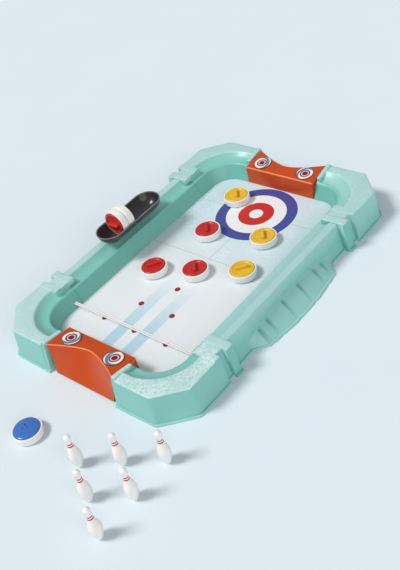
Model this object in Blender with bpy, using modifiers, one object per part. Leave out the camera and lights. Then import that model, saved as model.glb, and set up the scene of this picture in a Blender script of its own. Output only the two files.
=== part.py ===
"""Table-top curling and bowling game: a printed rink in a moulded frame, with pucks, pins and a puck rack."""

import math

import bmesh
import bpy
import numpy as np
from mathutils import Matrix, Vector

# X runs across the board, Y along it towards the target, Z up from the table.

# Clearance between pieces that touch on the real game.
PART_GAP = 0.0003
# How far a cutter runs past the face it cuts.
OVERRUN = 0.002

# Playing bed, a printed board held in a groove of the frame.
RINK_WIDTH = 0.170
RINK_LENGTH = 0.306
BED_THICK = 0.0028
BED_TUCK = 0.004
ICE_HEIGHT = 0.009

# Bar across the middle that carries the bed.
BAR_WIDTH = 0.030
BAR_HEEL = 0.003

# Frame wall, and the section from the wall's foot out to the base.
WALL = 0.0022
FOOT_RADIUS = 0.025
RIDGE_HEIGHT = 0.0275
RIDGE_SETBACK = 0.0075
RIDGE_ROUND = 0.0012
BAND_START = 0.0235
COVE_SAG = 0.0022
LIP_HEIGHT = 0.0335
LIP_ROUND = 0.0022
RAIL_WIDTH = 0.0322
RAIL_DRAFT = 0.0055
FLANGE_WIDTH = 0.0022
FLANGE_THICK = 0.0024
LEDGE_WIDTH = 0.007
LEDGE_THICK = 0.0022

# Corners of the end frames.
BAND_HEIGHT = 0.0345
SIDE_OUT = 0.041
END_OUT = 0.036
CHAMFER = 0.028
CORNER_DRAFT = 0.0038
CORNER_STEPS = 8

# Collars that wrap over the rails' ends.
COLLAR_SETBACK = 0.031
COLLAR_RIB = 0.0102
COLLAR_RECESS = 0.0092
COLLAR_RIB_FAR = 0.008
COLLAR_DROP = 0.006
COLLAR_HEIGHT = 0.0355
RECESS_HEIGHT = 0.0346
COLLAR_INSET = 0.0052
COLLAR_LAP = 0.0012
STEP_RUN = 0.0004

# Bar of the end frame that carries the end block.
BRIDGE_HEIGHT = ICE_HEIGHT
BRIDGE_SETBACK = 0.0075

# Rib beside the end block, up over the cove along the block's shoulder.
RIB_THICK = 0.0052
RIB_FRONT = 0.0022
RIB_PEAK = 0.0016
RIB_OVER_RIDGE = 0.0016
RIB_OVER_PEAK = 0.0022

# End blocks.
BLOCK_WIDTH = 0.0958
BLOCK_RIDGE = 0.031
BLOCK_PEAK = 0.035
BLOCK_EDGE_OUT = 0.0335
BLOCK_SKIRT_OUT = 0.038
BLOCK_SKIRT_THICK = 0.0089
BLOCK_SKIRT_FOOT = 0.0015
BLOCK_NARROW = 0.0060
BLOCK_EDGE_MIDDLE = 0.0170
BLOCK_EDGE_POWER = 1.4
BLOCK_HOLLOW = 0.0012

# Emblem plates on the blocks' shoulders.
PLATE_THICK = 0.0005
PLATE_RADIUS = 0.0106
PLATE_INSET = 0.0174
PLATE_OUT = 0.0128

# Screws that hold the blocks down.
SCREW_SPACING = 0.060
SCREW_RADIUS = 0.0013
SCREW_LENGTH = 0.011
SCREW_HEAD_RADIUS = 0.0028
SCREW_HEAD = 0.0017

# Ribbed grips at the foot of the side rails.
GRIP_CLEAR = 0.025
GRIP_OUT = 0.0160
GRIP_NOSE = 0.040
GRIP_TAPER_OUT = 0.0112
GRIP_TAPER = 0.0136
GRIP_HEIGHT = 0.0190
GRIP_END_HEIGHT = 0.0092
GROOVE_DEPTH = 0.0028
GROOVE_WIDTH = 0.0040
GROOVE_MARGIN = 0.0035
GROOVE_COUNT = 4

# Elastic launch cord, through the end frame's walls.
CORD_RADIUS = 0.0014
CORD_SETBACK = 0.0396
CORD_RISE = 0.006
CORD_HOLE = 0.0020
KNOT_RADIUS = 0.0026
KNOT_REACH = 0.0066

# Pucks.
PUCK_RADIUS = 0.0155
PUCK_RIM_HEIGHT = 0.0088
PUCK_RIM_WALL = 0.0017
PUCK_FOOT_INSET = 0.0016
PUCK_BEVEL = 0.0007
PUCK_FLOOR = 0.0045
CAP_RISE = 0.0009
CAP_CROWN = 0.0002
CAP_DISH = 0.0007
CAP_DISH_EDGE = 0.80
BOWL_CROWN = 0.0026
BOWL_HOLE = 0.0012
BOWL_HOLE_RING = 0.0026
BOWL_HOLE_DEPTH = 0.0012
HANDLE_LENGTH = 0.0150
HANDLE_WIDTH = 0.0034
HANDLE_HEIGHT = 0.0036
HANDLE_ROUND = 0.0008
PUCK_SEGMENTS = 24

# Where the pucks lie, as shares of the bed's half width and half length, and their handles' turns.
RED_SHARES = ((-0.516, -0.189), (0.040, -0.080), (-0.334, 0.318))
RED_TURNS = (49, 134, 133)
YELLOW_SHARES = ((-0.436, 0.759), (0.475, 0.422), (0.624, 0.058))
YELLOW_TURNS = (130, 129, 46)
BOWL_TURN = 24

# Rack, a half capsule that sits on the rail, hooks over its outer edge and holds pucks on edge.
RACK_SLACK = 0.0004
RACK_WALL = 0.0016
RACK_AXIS_RISE = 0.0025
RACK_SEAT = 0.0174
RACK_LENGTH = 0.096
RACK_PLACE = 0.0042
RACK_INSET = 0.0143
HOOK_STANDOFF = 0.0014
HOOK_LENGTH = 0.058
HOOK_THICK = 0.0015
HOOK_REACH = 0.0122
HOOK_DROP = 0.0075
HOOK_WEB = 0.0080
RACK_SEGMENTS = 24
RACK_PUCK_PLACE = -0.0096
RACK_PUCK_GAP = 0.0004

# Pins.
PIN_HEIGHT = 0.042
PIN_FOOT = 0.0036
PIN_BELLY = 0.0065
PIN_NECK = 0.0027
PIN_HEAD = 0.0036
PIN_SEGMENTS = 14
PIN_HEIGHT_SHARES = (0, 0.03, 0.15, 0.30, 0.42, 0.55, 0.66, 0.74, 0.83, 0.91, 0.97, 1)
PIN_RADIUS_SHARES = (0.90, 1, 1.52, 1.80, 1.72, 1.22, 0.82, 0.75, 0.90, 1, 0.74, 0)
PIN_SPACING = 0.0446
PIN_ROW = 0.0353
PIN_STANDOFF = 0.073
FIRST_PIN = 0.066
BOWL_RUN = 0.072

MINT = (0.24, 0.58, 0.52)
ORANGE = (0.62, 0.10, 0.025)
ICE = (0.72, 0.80, 0.84)
WHITE = (0.82, 0.81, 0.78)
RED = (0.50, 0.02, 0.018)
YELLOW = (0.75, 0.46, 0.03)
BLUE = (0.05, 0.15, 0.50)
BLACK = (0.03, 0.028, 0.03)
STEEL = (0.55, 0.55, 0.56)

HALF_WIDTH = RINK_WIDTH / 2
HALF_LENGTH = RINK_LENGTH / 2
ARM_CENTRE = HALF_WIDTH - FOOT_RADIUS
END_CENTRE = HALF_LENGTH - FOOT_RADIUS
WALL_FOOT = ICE_HEIGHT + PART_GAP
LEDGE_TOP = ICE_HEIGHT - BED_THICK - PART_GAP
LEDGE_BOTTOM = LEDGE_TOP - LEDGE_THICK
BED_CORNER = FOOT_RADIUS + BED_TUCK
GROOVE_BACK = BED_CORNER + PART_GAP
COLLAR_NEAR = END_CENTRE - COLLAR_SETBACK
CORD_PLACE = HALF_LENGTH - CORD_SETBACK
GRIP_LENGTH = 2 * (COLLAR_NEAR - GRIP_CLEAR)
GRIP_TAPER_LENGTH = GRIP_LENGTH - 2 * GRIP_TAPER
GROOVE_PITCH = (GRIP_TAPER_LENGTH - 2 * GROOVE_MARGIN) / GROOVE_COUNT
GROOVE_PLACES = (-2, -1.5, -0.5, 0.5, 1.5, 2)
PIN_LANE = -(HALF_LENGTH + END_OUT + PIN_STANDOFF)
RACK_AXIS = LIP_HEIGHT + RACK_SEAT
RACK_RIM = RACK_AXIS - RACK_AXIS_RISE
RACK_INNER = PUCK_RADIUS + RACK_SLACK
RACK_OUTER = RACK_INNER + RACK_WALL
RACK_CENTRE = -(HALF_WIDTH + RAIL_WIDTH - RACK_INSET)


def clear_scene():
    """Remove every object that the new file starts with."""
    for obj in list(bpy.data.objects):
        bpy.data.objects.remove(obj, do_unlink=True)


def new_collection(name):
    """A collection in the scene."""
    made = bpy.data.collections.new(name)
    bpy.context.scene.collection.children.link(made)
    return made


def material(name, colour, roughness, metallic=0.0):
    """A plain Principled material."""
    made = bpy.data.materials.new(name)
    made.use_nodes = True
    shader = made.node_tree.nodes["Principled BSDF"]
    shader.inputs["Base Color"].default_value = (*colour, 1)
    shader.inputs["Roughness"].default_value = roughness
    shader.inputs["Metallic"].default_value = metallic
    return made


def add(name, mesh, collection, finish=None):
    """A new object with this mesh, in the collection."""
    obj = bpy.data.objects.new(name, mesh)
    collection.objects.link(obj)
    if finish:
        mesh.materials.clear()
        mesh.materials.append(finish)
    return obj


def add_cutter(name, mesh):
    """A helper that only cuts or joins other pieces."""
    obj = add(name, mesh, CUTTERS)
    obj.hide_render = True
    obj.display_type = "WIRE"
    return obj


def boolean(obj, other, operation="DIFFERENCE"):
    """Cut or join one object with another."""
    modifier = obj.modifiers.new(other.name, "BOOLEAN")
    modifier.object = other
    modifier.operation = operation
    modifier.solver = "EXACT"


def baked(name, obj):
    """The object's evaluated mesh in world space, with the object removed."""
    bpy.context.view_layer.update()
    graph = bpy.context.evaluated_depsgraph_get()
    mesh = bpy.data.meshes.new_from_object(obj.evaluated_get(graph))
    mesh.transform(obj.matrix_world)
    mesh.name = name
    bpy.data.objects.remove(obj, do_unlink=True)
    return mesh


def smooth(mesh, degrees=35):
    """Shade round surfaces smooth and keep hard edges sharp."""
    mesh.shade_smooth()
    mesh.set_sharp_from_angle(angle=math.radians(degrees))


def box_mesh(name, low, high):
    """A box between two corners."""
    bm = bmesh.new()
    bmesh.ops.create_cube(bm, size=1)
    low, high = Vector(low), Vector(high)
    size = high - low
    bmesh.ops.scale(bm, vec=size, verts=bm.verts)
    bmesh.ops.translate(bm, vec=(low + high) / 2, verts=bm.verts)
    mesh = bpy.data.meshes.new(name)
    bm.to_mesh(mesh)
    bm.free()
    return mesh


def cylinder_mesh(name, radius, low, high, segments):
    """A cylinder about Z between two heights."""
    bm = bmesh.new()
    bmesh.ops.create_cone(
        bm, cap_ends=True, segments=segments, radius1=radius, radius2=radius, depth=high - low
    )
    bmesh.ops.translate(bm, vec=(0, 0, (low + high) / 2), verts=bm.verts)
    mesh = bpy.data.meshes.new(name)
    bm.to_mesh(mesh)
    bm.free()
    return mesh


def turned_mesh(name, profile, segments):
    """A profile of (radius, height) points, listed top to bottom down its outer side, turned about Z."""
    mesh = bpy.data.meshes.new(name)
    points = [(radius, 0, height) for radius, height in profile]
    mesh.from_pydata(points, [(i, i + 1) for i in range(len(points) - 1)], [])
    obj = add(name + "_profile", mesh, CUTTERS)
    screw = obj.modifiers.new("turn", "SCREW")
    screw.axis = "Z"
    screw.steps = segments
    screw.render_steps = segments
    screw.use_merge_vertices = True
    screw.merge_threshold = 0.00002
    return baked(name, obj)


def loft_mesh(name, rings, caps=(True, True)):
    """A skin over rings that all hold as many points, each ring closed; chosen ends are capped."""
    count = len(rings[0])
    points = [tuple(point) for ring in rings for point in ring]
    faces = []
    for i in range(len(rings) - 1):
        for j in range(count):
            k = (j + 1) % count
            faces.append((i * count + j, i * count + k, (i + 1) * count + k, (i + 1) * count + j))
    if caps[0]:
        faces.append(tuple(range(count))[::-1])
    if caps[1]:
        faces.append(tuple((len(rings) - 1) * count + j for j in range(count)))
    mesh = bpy.data.meshes.new(name)
    mesh.from_pydata(points, [], faces)
    bm = bmesh.new()
    bm.from_mesh(mesh)
    bmesh.ops.triangulate(bm, faces=bm.faces)
    bmesh.ops.recalc_face_normals(bm, faces=bm.faces)
    bm.to_mesh(mesh)
    bm.free()
    return mesh


def inset(points, distance):
    """The polyline moved sideways by a distance, to the right of its direction, with mitred corners."""
    points = np.array(points, float)
    along = np.diff(points, axis=0)
    along /= np.linalg.norm(along, axis=1)[:, None]
    normal = np.stack([along[:, 1], -along[:, 0]], axis=1)
    first = np.vstack([normal[:1], normal])
    last = np.vstack([normal, normal[-1:]])
    mitre = first + last
    mitre /= (mitre * first).sum(axis=1)[:, None]
    return (points + mitre * distance).tolist()


def skin(reach, height, draft, grip=None):
    """Corners of the frame's outer surface, as (distance from the path's centre, height).

    They run from the wall's foot over the ridge, up the hollow of the cove to the band and down the
    outer face to the base. A grip is given as the height where it leaves the face and its reach.
    """
    ridge = FOOT_RADIUS + RIDGE_SETBACK
    band = FOOT_RADIUS + BAND_START
    run = band - ridge
    rise = height - RIDGE_HEIGHT
    cove = [(ridge + run * t, RIDGE_HEIGHT + rise * t - COVE_SAG * math.sin(math.pi * t)) for t in COVE_SHARES]
    base = reach + draft
    if grip is None:
        start = (reach + draft / 2, (height + FLANGE_THICK) / 2)
    else:
        slope = (height - grip[0]) / (height - FLANGE_THICK)
        start = (reach + draft * slope, grip[0])
        base = grip[1]
    return [
        (FOOT_RADIUS, WALL_FOOT),
        (ridge, RIDGE_HEIGHT),
        *cove,
        (band, height),
        (reach, height),
        start,
        (base, FLANGE_THICK),
    ]


COVE_SHARES = (0.3, 0.62, 0.9)


def rounded(corners, index, radius):
    """The corner at this place in the list as two points, cut back by the radius."""
    here = Vector(corners[index])
    before = (Vector(corners[index - 1]) - here).normalized()
    after = (Vector(corners[index + 1]) - here).normalized()
    return [tuple(here + before * radius), tuple(here + after * radius)]


def shell_ring(reach, height, draft, grip=None):
    """The closed section of the frame: its outer skin, then back inside it and round the bed's groove."""
    corners = skin(reach, height, draft, grip)
    crest = len(corners) - 3
    outer = [
        corners[0],
        *rounded(corners, 1, RIDGE_ROUND),
        *corners[2:crest],
        *rounded(corners, crest, LIP_ROUND),
        *corners[crest + 1:],
    ]
    base = corners[-1][0]
    flange = [(base + FLANGE_WIDTH, FLANGE_THICK), (base + FLANGE_WIDTH, 0)]
    inner = inset(corners, WALL)
    inside = [(base - WALL, 0), *inner[1:-1][::-1]]
    groove = [
        (GROOVE_BACK + WALL, LEDGE_BOTTOM),
        (FOOT_RADIUS - LEDGE_WIDTH, LEDGE_BOTTOM),
        (FOOT_RADIUS - LEDGE_WIDTH, LEDGE_TOP),
        (GROOVE_BACK, LEDGE_TOP),
        (GROOVE_BACK, WALL_FOOT),
    ]
    return outer + flange + inside + groove


def bridge_ring():
    """The low section under the end block, with as many points as the shell has."""
    full = shell_ring(FOOT_RADIUS + END_OUT, BAND_HEIGHT, CORNER_DRAFT)
    out = FOOT_RADIUS + END_OUT - BRIDGE_SETBACK
    top = BRIDGE_HEIGHT
    groove = full[-GROOVE_POINTS:-1] + [(GROOVE_BACK, (LEDGE_TOP + top) / 2)]
    steps = OUTER_POINTS - 2
    run = out - GROOVE_BACK
    upper = [(GROOVE_BACK + run * i / steps, top) for i in range(steps + 1)] + [(out, 0)]
    inward = out - WALL
    span = inward - GROOVE_BACK - WALL
    steps = len(full) - OUTER_POINTS - GROOVE_POINTS - 2
    lower = [(inward, 0)] + [(inward - span * i / steps, top - WALL) for i in range(steps + 1)]
    return upper + lower + groove


def end_frame_mesh():
    """The far end frame: half of it lofted round its corner and mirrored, then joined to its sleeves."""
    side = FOOT_RADIUS + SIDE_OUT
    end = FOOT_RADIUS + END_OUT
    cut = side + end - CHAMFER
    block = BLOCK_WIDTH / 2 + PART_GAP
    corner_angles = {0.0, math.pi / 2}
    for vertex in ((cut - end, end), (side, cut - side)):
        corner_angles.add(math.atan2(*vertex))
    corner_angles |= {math.pi / 2 * i / CORNER_STEPS for i in range(1, CORNER_STEPS)}
    closest = math.radians(3)
    angles = []
    for angle in sorted(corner_angles):
        if not angles or angle - angles[-1] > closest:
            angles.append(angle)

    def at(ring, angle, x, y, within=(0, 0)):
        """The section set up at a place and angle; the points inside the wall are moved on by `within`."""
        out = Vector((math.sin(angle), math.cos(angle), 0))
        points = []
        for i, (r, z) in enumerate(ring):
            point = Vector((x, y, z)) + out * r
            if OUTER_POINTS <= i <= len(ring) - GROOVE_POINTS:
                point += Vector((*within, 0))
            points.append(point)
        return points

    plain_end = shell_ring(end, BAND_HEIGHT, CORNER_DRAFT)
    plain_side = shell_ring(side, BAND_HEIGHT, CORNER_DRAFT)
    rings = [at(bridge_ring(), 0, 0, END_CENTRE), at(bridge_ring(), 0, block, END_CENTRE, (WALL, 0))]
    ribbed = rib_ring()
    rings.append(at(ribbed, 0, block + STEP_RUN, END_CENTRE, (WALL, 0)))
    rings.append(at(ribbed, 0, block + RIB_THICK, END_CENTRE, (WALL, 0)))
    rings.append(at(plain_end, 0, block + RIB_THICK + STEP_RUN, END_CENTRE, (WALL, 0)))
    for angle in angles:
        sine, cosine = math.sin(angle), math.cos(angle)
        reach = min(
            end / max(cosine, 1e-6), side / max(sine, 1e-6), cut / (sine + cosine)
        )
        ring = shell_ring(reach, BAND_HEIGHT, CORNER_DRAFT)
        rings.append(at(ring, angle, ARM_CENTRE, END_CENTRE))
    far_rib = COLLAR_NEAR + COLLAR_RIB + COLLAR_RECESS
    recess = collar_ring(SIDE_OUT - COLLAR_DROP, LIP_HEIGHT, RAIL_DRAFT, RECESS_HEIGHT)
    rib = collar_ring()
    rings.append(at(plain_side, math.pi / 2, ARM_CENTRE, far_rib + COLLAR_RIB_FAR + STEP_RUN))
    rings.append(at(rib, math.pi / 2, ARM_CENTRE, far_rib + COLLAR_RIB_FAR))
    rings.append(at(rib, math.pi / 2, ARM_CENTRE, far_rib + STEP_RUN, (0, WALL)))
    rings.append(at(recess, math.pi / 2, ARM_CENTRE, far_rib, (0, WALL)))
    rings.append(at(recess, math.pi / 2, ARM_CENTRE, COLLAR_NEAR + COLLAR_RIB - COLLAR_LAP))
    mesh = loft_mesh("end_frame_shell", rings, caps=(False, True))
    obj = add("end_frame_shell", mesh, CUTTERS)
    mirror = obj.modifiers.new("mirror", "MIRROR")
    mirror.merge_threshold = 0.00005
    for side_sign in (-1, 1):
        sleeve = add_cutter("collar_sleeve", sleeve_mesh(side_sign))
        boolean(obj, sleeve, "UNION")
        hole = add_cutter("cord_hole", cylinder_mesh("cord_hole", CORD_HOLE, -CORD_REACH, CORD_REACH, 16))
        hole.matrix_world = Matrix.Translation(
            (side_sign * HALF_WIDTH, CORD_PLACE, ICE_HEIGHT + CORD_RISE)
        ) @ Matrix.Rotation(math.pi / 2, 4, "Y")
        boolean(obj, hole)
        screw_hole = cylinder_mesh("screw_hole", SCREW_RADIUS + PART_GAP, 0, BRIDGE_HEIGHT + OVERRUN, 12)
        pilot = add_cutter("screw_hole", screw_hole)
        pilot.location = (side_sign * SCREW_SPACING / 2, SCREW_Y, 0)
        boolean(obj, pilot)
    return baked("end_frame", obj)


def rib_ring():
    """The section through the rib beside the end block."""
    ring = shell_ring(FOOT_RADIUS + END_OUT, BAND_HEIGHT, CORNER_DRAFT)
    front = FOOT_RADIUS + RIDGE_SETBACK + RIB_FRONT
    band = FOOT_RADIUS + BAND_START
    peak = FOOT_RADIUS + END_OUT - RIB_PEAK
    low, high = BLOCK_RIDGE + RIB_OVER_RIDGE, BLOCK_PEAK + RIB_OVER_PEAK
    raised = list(ring)
    raised[3] = (front - STEP_RUN, ring[3][1])
    raised[4] = (front, low)
    raised[5] = ((front + band) / 2, low + (high - low) / 3)
    raised[6] = (band, low + (high - low) * 2 / 3)
    raised[7] = (peak, high)
    return raised


CORD_REACH = RIDGE_SETBACK + WALL + OVERRUN
OUTER_POINTS = 13
GROOVE_POINTS = 5
SCREW_Y = HALF_LENGTH + (BED_TUCK + END_OUT - BRIDGE_SETBACK) / 2


def collar_ring(out=SIDE_OUT, lip=BAND_HEIGHT, draft=CORNER_DRAFT, top=COLLAR_HEIGHT):
    """The section through a collar, flat over the cove: a raised rib, or the recess between two of them."""
    side = FOOT_RADIUS + out
    ring = shell_ring(side, lip, draft)
    start = FOOT_RADIUS + RIDGE_SETBACK + COLLAR_INSET
    band = FOOT_RADIUS + BAND_START
    raised = []
    for i, (r, z) in enumerate(ring[:9]):
        raised.append((r, z))
    raised[3] = (start, ring[3][1])
    raised[4] = (start + STEP_RUN, top)
    raised[5] = ((start + band) / 2, top)
    raised[6] = (band, top)
    raised[7] = (side - LIP_ROUND, top)
    raised[8] = (side, lip - LIP_ROUND)
    return raised + ring[9:]


def sleeve_mesh(side_sign):
    """A collar's near rib, which laps over the end of the rail."""
    rail = rail_ring()
    over = inset(skin(FOOT_RADIUS + RAIL_WIDTH, LIP_HEIGHT, RAIL_DRAFT)[1:], -PART_GAP)
    rib = collar_ring()[3:OUTER_POINTS]
    foot = FOOT_RADIUS + RAIL_WIDTH + RAIL_DRAFT
    flange = [(foot, FLANGE_THICK), (foot + FLANGE_WIDTH, FLANGE_THICK), (foot + FLANGE_WIDTH, 0)]
    flange = inset(flange, -PART_GAP)
    start = rib[0][0]
    under = [point for point in over[1:-1] if point[0] > start + PART_GAP]
    seat = np.interp(start, [point[0] for point in over[:4]], [point[1] for point in over[:4]])
    ring = [(start, float(seat)), *rib[1:-1], (rib[-1][0], PART_GAP), (flange[2][0], PART_GAP), flange[1]]
    ring += [(over[-1][0], flange[0][1]), *under[::-1]]
    sunk = [(r, z - WALL / 2) if i == 0 or i >= len(ring) - len(under) else (r, z) for i, (r, z) in enumerate(ring)]
    high = COLLAR_NEAR + COLLAR_RIB
    step = (COLLAR_LAP - PART_GAP) / 2
    rings = []
    for y, outline in ((COLLAR_NEAR, ring), (high - step * 2, ring), (high - step, sunk), (high, sunk)):
        rings.append([(side_sign * (ARM_CENTRE + r), y, z) for r, z in outline])
    return loft_mesh("collar_sleeve", rings)


def rail_ring(grip=None):
    """The side rail's closed section."""
    return shell_ring(FOOT_RADIUS + RAIL_WIDTH, LIP_HEIGHT, RAIL_DRAFT, grip)


def grip_at(y):
    """Where the grip leaves the rail's face at this place along it, and how far out its foot reaches."""
    base = FOOT_RADIUS + RAIL_WIDTH + RAIL_DRAFT
    half = GRIP_LENGTH / 2
    taper = GRIP_TAPER_LENGTH / 2
    nose = GRIP_NOSE / 2
    y = min(abs(y), half)
    out = np.interp(y, (0, nose, taper, half), (GRIP_OUT, GRIP_OUT, GRIP_TAPER_OUT, 0))
    height = GRIP_END_HEIGHT + (GRIP_HEIGHT - GRIP_END_HEIGHT) * math.sqrt(max(0, 1 - (y / half) ** 2))
    return height, base + float(out)


def rail_mesh():
    """The right side rail, lofted from end to end, with its ribbed grip at mid length."""
    end = COLLAR_NEAR + COLLAR_RIB - COLLAR_LAP - PART_GAP
    half = GRIP_LENGTH / 2
    taper = GRIP_TAPER_LENGTH / 2
    stations = [(-end, None), (-half - STEP_RUN, None)]
    edges = set()
    for sign in (-1, 1):
        edges |= {sign * half, sign * taper}
    marks = []
    for share in GROOVE_PLACES:
        centre = share * GROOVE_PITCH
        for offset, depth in (
            (-GROOVE_WIDTH / 2 - STEP_RUN, 0),
            (-GROOVE_WIDTH / 2, GROOVE_DEPTH),
            (GROOVE_WIDTH / 2, GROOVE_DEPTH),
            (GROOVE_WIDTH / 2 + STEP_RUN, 0),
        ):
            marks.append((centre + offset, depth))
    marks += [(edge, 0) for edge in edges]
    for y, depth in sorted(marks):
        height, out = grip_at(y)
        stations.append((y, (height - depth, out - depth)))
    stations += [(half + STEP_RUN, None), (end, None)]
    rings = []
    for y, grip in stations:
        rings.append([(ARM_CENTRE + r, y, z) for r, z in rail_ring(grip)])
    return loft_mesh("side_rail", rings)


def turned_round(mesh, name):
    """A copy of a mesh turned half round about Z."""
    copy = mesh.copy()
    copy.name = name
    copy.transform(Matrix.Rotation(math.pi, 4, "Z"))
    return copy


def build_frame():
    """The two end frames and the two side rails."""
    far = end_frame_mesh()
    smooth(far, 30)
    near = turned_round(far, "near_end_frame")
    add("far_end_frame", far, GAME, FINISH["mint"])
    add("near_end_frame", near, GAME, FINISH["mint"])
    right = rail_mesh()
    smooth(right, 30)
    left = turned_round(right, "left_side_rail")
    add("right_side_rail", right, GAME, FINISH["mint"])
    add("left_side_rail", left, GAME, FINISH["mint"])


def build_bed():
    """The printed bed with rounded corners, and the bar across the middle that carries it."""
    x = HALF_WIDTH + BED_TUCK
    y = HALF_LENGTH + BED_TUCK
    outline = bpy.data.curves.new("rink_bed", "CURVE")
    outline.dimensions = "2D"
    outline.fill_mode = "BOTH"
    outline.extrude = BED_THICK / 2
    spline = outline.splines.new("POLY")
    points = []
    for sx, sy, first in ((1, 1, 0), (-1, 1, 1), (-1, -1, 2), (1, -1, 3)):
        for i in range(BED_CORNER_STEPS + 1):
            angle = math.pi / 2 * (first + i / BED_CORNER_STEPS)
            points.append((
                sx * (x - BED_CORNER) + BED_CORNER * math.cos(angle),
                sy * (y - BED_CORNER) + BED_CORNER * math.sin(angle),
            ))
    spline.points.add(len(points) - 1)
    for point, (px, py) in zip(spline.points, points):
        point.co = (px, py, 0, 1)
    spline.use_cyclic_u = True
    bed = bpy.data.objects.new("rink_bed", outline)
    GAME.objects.link(bed)
    bed.location = (0, 0, ICE_HEIGHT - BED_THICK / 2)
    outline.materials.append(FINISH["ice"])

    reach = ARM_CENTRE + FOOT_RADIUS - LEDGE_WIDTH - PART_GAP
    tall = ICE_HEIGHT - BED_THICK - PART_GAP
    bar = add("bed_support_bar", box_mesh("bed_support_bar", (-reach, -BAR_WIDTH / 2, 0),
                                          (reach, BAR_WIDTH / 2, tall)), GAME, FINISH["mint"])
    bevel = bar.modifiers.new("edges", "BEVEL")
    bevel.width = BAR_HEEL / 4
    bevel.segments = 1


BED_CORNER_STEPS = 6


def block_top(out):
    """Height of the block's flat top, which rises outwards."""
    return BLOCK_RIDGE + (BLOCK_PEAK - BLOCK_RIDGE) * out / BLOCK_EDGE_OUT


def block_edge(x):
    """How far out the flat top reaches: a curved edge, least in the middle and most at the corners."""
    spread = (abs(x) / (BLOCK_WIDTH / 2)) ** BLOCK_EDGE_POWER
    return BLOCK_EDGE_MIDDLE + (BLOCK_EDGE_OUT - BLOCK_EDGE_MIDDLE) * spread


def block_mesh():
    """The far end block, lofted across its width, with screw pilots in its underside."""
    half = BLOCK_WIDTH / 2
    skirt = BLOCK_SKIRT_OUT
    rings = []
    for i in range(-8, 9):
        x = half * i / 8
        low = x * (half - BLOCK_NARROW) / half
        edge = block_edge(x)
        ring = [(x, 0, block_top(0)), (x, edge / 2, block_top(edge / 2))]
        for share in (0, 0.25, 0.5, 0.75, 1):
            out = edge + (skirt - edge) * share - BLOCK_HOLLOW * 4 * share * (1 - share)
            height = block_top(edge) + (BLOCK_SKIRT_FOOT - block_top(edge)) * share
            ring.append((x + (low - x) * share, out, height))
        ring.append((low, skirt - BLOCK_SKIRT_THICK, BLOCK_SKIRT_FOOT))
        ring.append((low, skirt - BLOCK_SKIRT_THICK, WALL_FOOT))
        ring.append((x, 0, WALL_FOOT))
        rings.append([(a, HALF_LENGTH + out, z) for a, out, z in ring])
    mesh = loft_mesh("end_block", rings)
    obj = add("end_block_solid", mesh, CUTTERS)
    for sign in (-1, 1):
        top = BRIDGE_HEIGHT - WALL + SCREW_LENGTH
        hole = cylinder_mesh("pilot", SCREW_RADIUS + PART_GAP, WALL_FOOT - OVERRUN, top, 12)
        pilot = add_cutter("pilot", hole)
        pilot.location = (sign * SCREW_SPACING / 2, SCREW_Y, 0)
        boolean(obj, pilot)
    return baked("end_block", obj)


def plate_mesh(side_sign):
    """A thin round emblem plate, on the slope of a block's flat top."""
    slope = math.atan2(BLOCK_PEAK - BLOCK_RIDGE, BLOCK_EDGE_OUT)
    mesh = cylinder_mesh("emblem_plate", PLATE_RADIUS, PART_GAP, PART_GAP + PLATE_THICK, 40)
    place = Vector((side_sign * (BLOCK_WIDTH / 2 - PLATE_INSET), HALF_LENGTH + PLATE_OUT, block_top(PLATE_OUT)))
    mesh.transform(Matrix.Translation(place) @ Matrix.Rotation(slope, 4, "X"))
    return mesh


def build_blocks():
    """An orange block at each end, its two emblem plates and its two screws."""
    far = block_mesh()
    smooth(far, 30)
    meshes = {"far": far, "near": turned_round(far, "near_end_block")}
    for end, mesh in meshes.items():
        add(end + "_end_block", mesh, GAME, FINISH["orange"])
        turn = Matrix.Rotation(math.pi if end == "near" else 0, 4, "Z")
        for side, sign in (("left", -1), ("right", 1)):
            toward = -sign if end == "near" else sign
            plate = plate_mesh(toward)
            plate.transform(turn)
            add(f"{end}_{side}_emblem_plate", plate, GAME, FINISH["white"])
            screw = screw_mesh()
            screw.transform(turn @ Matrix.Translation((toward * SCREW_SPACING / 2, SCREW_Y, 0)))
            add(f"{end}_{side}_block_screw", screw, GAME, FINISH["steel"])


def screw_mesh():
    """A pan-head screw, head down under the bridge."""
    seat = BRIDGE_HEIGHT - WALL - PART_GAP
    profile = [
        (0, seat + SCREW_LENGTH - SCREW_RADIUS / 2),
        (SCREW_RADIUS * 0.6, seat + SCREW_LENGTH - SCREW_RADIUS / 2),
        (SCREW_RADIUS, seat + SCREW_LENGTH - SCREW_RADIUS),
        (SCREW_RADIUS, seat),
        (SCREW_HEAD_RADIUS, seat),
        (SCREW_HEAD_RADIUS, seat - SCREW_HEAD * 0.6),
        (SCREW_HEAD_RADIUS * 0.7, seat - SCREW_HEAD),
        (0, seat - SCREW_HEAD),
    ]
    return turned_mesh("block_screw", profile, 12)


def build_cord():
    """The elastic launch cord, stretched between the near end frame's walls and knotted behind them."""
    wall = (CORD_RISE - PART_GAP) / (RIDGE_HEIGHT - WALL_FOOT) * RIDGE_SETBACK
    reach = HALF_WIDTH + wall + WALL + KNOT_REACH
    height = ICE_HEIGHT + CORD_RISE
    profile = [(0, reach + KNOT_RADIUS)]
    for i in range(1, 6):
        angle = math.pi * i / 6
        if KNOT_RADIUS * math.sin(angle) > CORD_RADIUS or i < 4:
            profile.append((KNOT_RADIUS * math.sin(angle), reach + KNOT_RADIUS * math.cos(angle)))
    profile.append((CORD_RADIUS, reach - KNOT_RADIUS))
    mirrored = [(radius, -place) for radius, place in profile[::-1]]
    mesh = turned_mesh("elastic_cord", profile + mirrored, 10)
    mesh.transform(Matrix.Rotation(math.pi / 2, 4, "Y"))
    mesh.transform(Matrix.Translation((0, -CORD_PLACE, height)))
    smooth(mesh)
    add("elastic_cord", mesh, GAME, FINISH["white"])


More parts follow.
